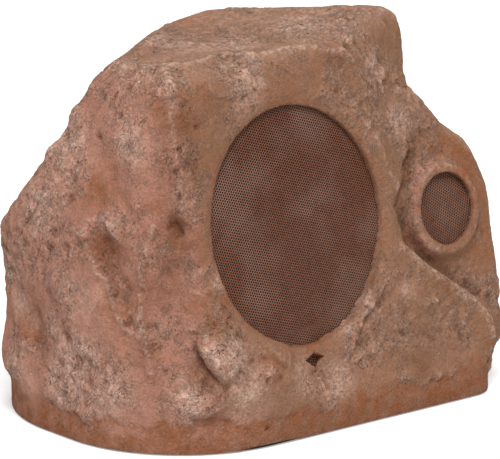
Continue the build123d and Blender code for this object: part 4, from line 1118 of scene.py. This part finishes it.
# %% [markdown]
# ## Finishes of the working parts
# The base, the gland, the two drivers and the crossover keep the solids' own shapes, which are right, and
# get a finish for each material. Most are mottled: two tones of one colour, an uneven gloss and a fine
# grain. Metals are brushed by stretching the noise, cloths are woven from two crossing bands, and coils are
# banded like wire. Grains, threads, wires and depths are in millimetres.

# %% Mottled and brushed finishes
STREAKS = (60, 900, 900)
MIDDLE_NOISE = {"low": 0.3, "high": 0.7}
UNEVEN_GLOSS = 0.1
METAL_GLOSS = 0.08


def mottled(name, dark, light, grain, rough, depth):
    material, tree, shader = new_finish(name + "_finish")
    tones = blended(tree, speckled(tree, grain, low=0.35, high=0.65), dark, light)
    ends = {"least": rough - UNEVEN_GLOSS, "most": rough + UNEVEN_GLOSS}
    feed(tree, shader.inputs["Base Color"], tones)
    feed(tree, shader.inputs["Roughness"], speckled(tree, 4 * grain, **MIDDLE_NOISE, **ends))
    bumped(tree, shader, speckled(tree, grain, **MIDDLE_NOISE), strength=0.5, depth=depth)
    return material


def brushed(name, dark, light, rough):
    material, tree, shader = new_finish(name + "_finish")
    place = add(tree, "TexCoord", {}).outputs["Object"]
    drawn = add(tree, "Mapping", {"Vector": place, "Scale": STREAKS}).outputs["Vector"]
    streak = add(tree, "TexNoise", {"Vector": drawn, "Scale": 1.0, "Detail": 3}).outputs["Fac"]
    ends = {"least": rough - METAL_GLOSS, "most": rough + METAL_GLOSS}
    feed(tree, shader.inputs["Base Color"], blended(tree, spread(tree, streak, **MIDDLE_NOISE), dark, light))
    feed(tree, shader.inputs["Roughness"], spread(tree, streak, **MIDDLE_NOISE, **ends))
    shader.inputs["Metallic"].default_value = 1.0
    bumped(tree, shader, streak, strength=0.2, depth=0.05)
    return material


# %% Woven and wound finishes
BAND_PERIOD = 0.314
BAND_WAVER = 0.4


def bands(tree, thread, direction):
    place = add(tree, "TexCoord", {}).outputs["Object"]
    look = {"Vector": place, "Scale": BAND_PERIOD / (thread * MM), "Distortion": BAND_WAVER, "Detail": 1}
    return add(tree, "TexWave", look, bands_direction=direction).outputs["Fac"]


def woven(name, dark, light, thread, rough):
    material, tree, shader = new_finish(name + "_finish")
    weave = counted(tree, "MAXIMUM", bands(tree, thread, "X"), bands(tree, thread, "Z"))
    ends = {"least": rough - UNEVEN_GLOSS, "most": rough + UNEVEN_GLOSS}
    feed(tree, shader.inputs["Base Color"], blended(tree, weave, dark, light))
    feed(tree, shader.inputs["Roughness"], speckled(tree, grain=5, **MIDDLE_NOISE, **ends))
    bumped(tree, shader, weave, strength=0.5, depth=0.15)
    return material


def wound(name, dark, light, wire, rough):
    material, tree, shader = new_finish(name + "_finish")
    turns = bands(tree, wire, "DIAGONAL")
    ends = {"least": rough - METAL_GLOSS, "most": rough + METAL_GLOSS}
    feed(tree, shader.inputs["Base Color"], blended(tree, turns, dark, light))
    feed(tree, shader.inputs["Roughness"], speckled(tree, grain=2, **MIDDLE_NOISE, **ends))
    shader.inputs["Metallic"].default_value = 1.0
    bumped(tree, shader, turns, strength=0.6, depth=0.2)
    return material


# %% Give every working part its finish
finishes = [
    mottled("base_plastic", (0.016, 0.012, 0.01), (0.03, 0.023, 0.02), grain=1.0, rough=0.6, depth=0.10),
    mottled("gasket_foam", (0.004, 0.004, 0.004), (0.012, 0.012, 0.012), grain=0.6, rough=0.9, depth=0.25),
    brushed("screw_steel", (0.42, 0.42, 0.43), (0.62, 0.62, 0.63), rough=0.32),
    mottled("gland_nylon", (0.006, 0.006, 0.006), (0.014, 0.014, 0.014), grain=0.8, rough=0.45, depth=0.05),
    mottled("gland_rubber", (0.004, 0.004, 0.004), (0.009, 0.009, 0.009), grain=0.7, rough=0.75, depth=0.06),
    mottled("baffle_board", (0.005, 0.004, 0.004), (0.012, 0.01, 0.009), grain=1.4, rough=0.75, depth=0.15),
    mottled("frame_steel", (0.005, 0.005, 0.005), (0.013, 0.013, 0.013), grain=0.7, rough=0.7, depth=0.05),
    brushed("motor_steel", (0.30, 0.30, 0.31), (0.48, 0.48, 0.49), rough=0.38),
    mottled("ferrite", (0.013, 0.013, 0.015), (0.03, 0.03, 0.033), grain=0.5, rough=0.7, depth=0.12),
    mottled("cone_poly", (0.006, 0.005, 0.005), (0.012, 0.011, 0.011), grain=1.5, rough=0.88, depth=0.08),
    mottled(
        "surround_rubber", (0.003, 0.003, 0.003), (0.008, 0.008, 0.008), grain=0.9, rough=0.86, depth=0.05),
    woven("spider_cloth", (0.20, 0.12, 0.03), (0.42, 0.27, 0.08), thread=0.9, rough=0.8),
    brushed("former_aluminium", (0.58, 0.58, 0.60), (0.78, 0.78, 0.80), rough=0.28),
    wound("winding_copper", (0.26, 0.085, 0.028), (0.56, 0.22, 0.08), wire=0.5, rough=0.32),
    mottled(
        "faceplate_plastic", (0.006, 0.006, 0.006), (0.014, 0.014, 0.014), grain=0.8, rough=0.8, depth=0.08),
    woven("dome_silk", (0.006, 0.006, 0.007), (0.02, 0.02, 0.022), thread=0.5, rough=0.6),
    mottled("board_laminate", (0.13, 0.082, 0.026), (0.21, 0.14, 0.05), grain=0.9, rough=0.5, depth=0.04),
    mottled("capacitor_film", (0.40, 0.30, 0.016), (0.52, 0.41, 0.035), grain=3.0, rough=0.25, depth=0.03),
    mottled("resistor_ceramic", (0.56, 0.545, 0.49), (0.66, 0.645, 0.59), grain=0.8, rough=0.7, depth=0.08),
    mottled("terminal_plastic", (0.01, 0.011, 0.013), (0.02, 0.022, 0.025), grain=0.8, rough=0.5, depth=0.05),
    brushed("solder_strip", (0.46, 0.34, 0.13), (0.64, 0.50, 0.24), rough=0.34),
    mottled("lead_red", (0.15, 0.008, 0.006), (0.21, 0.014, 0.01), grain=1.2, rough=0.45, depth=0.03),
]
finish_of = {finish.name.removesuffix("_finish"): finish for finish in finishes}
replaced = ("rock_shell", "woofer_grille", "tweeter_grille")
for name, node in nodes.items():
    if name not in replaced:
        slot = node.material_slots[0].material.name.split(".")[0]
        node.material_slots[0].material = finish_of[slot]
print("working parts finished:", len(nodes) - len(replaced), "in", len(finishes), "finishes")

# %% [markdown]
# The object stands on a wide pale floor, and a soft sun from the front left and an even sky light it at a
# plain level. The floor glows a little to the camera alone, so that the ground looks white while the shadow
# stays, and rays from the camera, mirrors and glass see the sky as white.

# %% Lay the floor
FLOOR_RADIUS = 12
FLOOR_DROP = 0.3 * MM
FLOOR_DARK = (0.78, 0.78, 0.78)
FLOOR_LIGHT = (0.82, 0.82, 0.82)
FLOOR_ROUGHNESS = 0.9
FLOOR_GLOW = 0.30
WHITE = (1, 1, 1, 1)

rim = oval(FLOOR_RADIUS, FLOOR_RADIUS)
floor = new_piece("studio_floor", [(x, y, -FLOOR_DROP) for x, y in rim], [range(len(rim))])
floor_finish, tree, shader = new_finish("studio_floor")
clouds = speckled(tree, grain=200, **MIDDLE_NOISE)
feed(tree, shader.inputs["Base Color"], blended(tree, clouds, FLOOR_DARK, FLOOR_LIGHT))
shader.inputs["Roughness"].default_value = FLOOR_ROUGHNESS
shader.inputs["Emission Color"].default_value = WHITE
rays = add(tree, "LightPath", {})
feed(tree, shader.inputs["Emission Strength"], times(tree, rays.outputs["Is Camera Ray"], FLOOR_GLOW))
floor.data.materials.append(floor_finish)
print("floor across in m:", 2 * FLOOR_RADIUS)

# %% Hang the sun and the sky
SUN_FROM = Vector((-0.34, -0.46, 0.82))
SUN_STRENGTH = 3.0
SUN_SOFTNESS = math.radians(24)
SKY_LIGHT = 0.39

sun = bpy.data.lights.new("studio_sun", "SUN")
sun.energy = SUN_STRENGTH
sun.angle = SUN_SOFTNESS
sun_stand = bpy.data.objects.new("studio_sun", sun)
sun_stand.rotation_euler = SUN_FROM.to_track_quat("Z", "Y").to_euler()
bpy.context.scene.collection.objects.link(sun_stand)

sky = bpy.data.worlds.new("studio_sky")
sky.use_nodes = True
bpy.context.scene.world = sky
tree = sky.node_tree
rays = add(tree, "LightPath", {})
seen = plus(tree, rays.outputs["Is Camera Ray"], rays.outputs["Is Glossy Ray"])
seen = plus(tree, seen, rays.outputs["Is Transmission Ray"])
shine = tree.nodes["Background"].inputs
shine["Color"].default_value = WHITE
feed(tree, shine["Strength"], spread(tree, seen, 0, 1, least=SKY_LIGHT, most=1.0))
bpy.context.scene.view_settings.view_transform = "Standard"
print("sun:", sun.energy, "sky:", SKY_LIGHT)
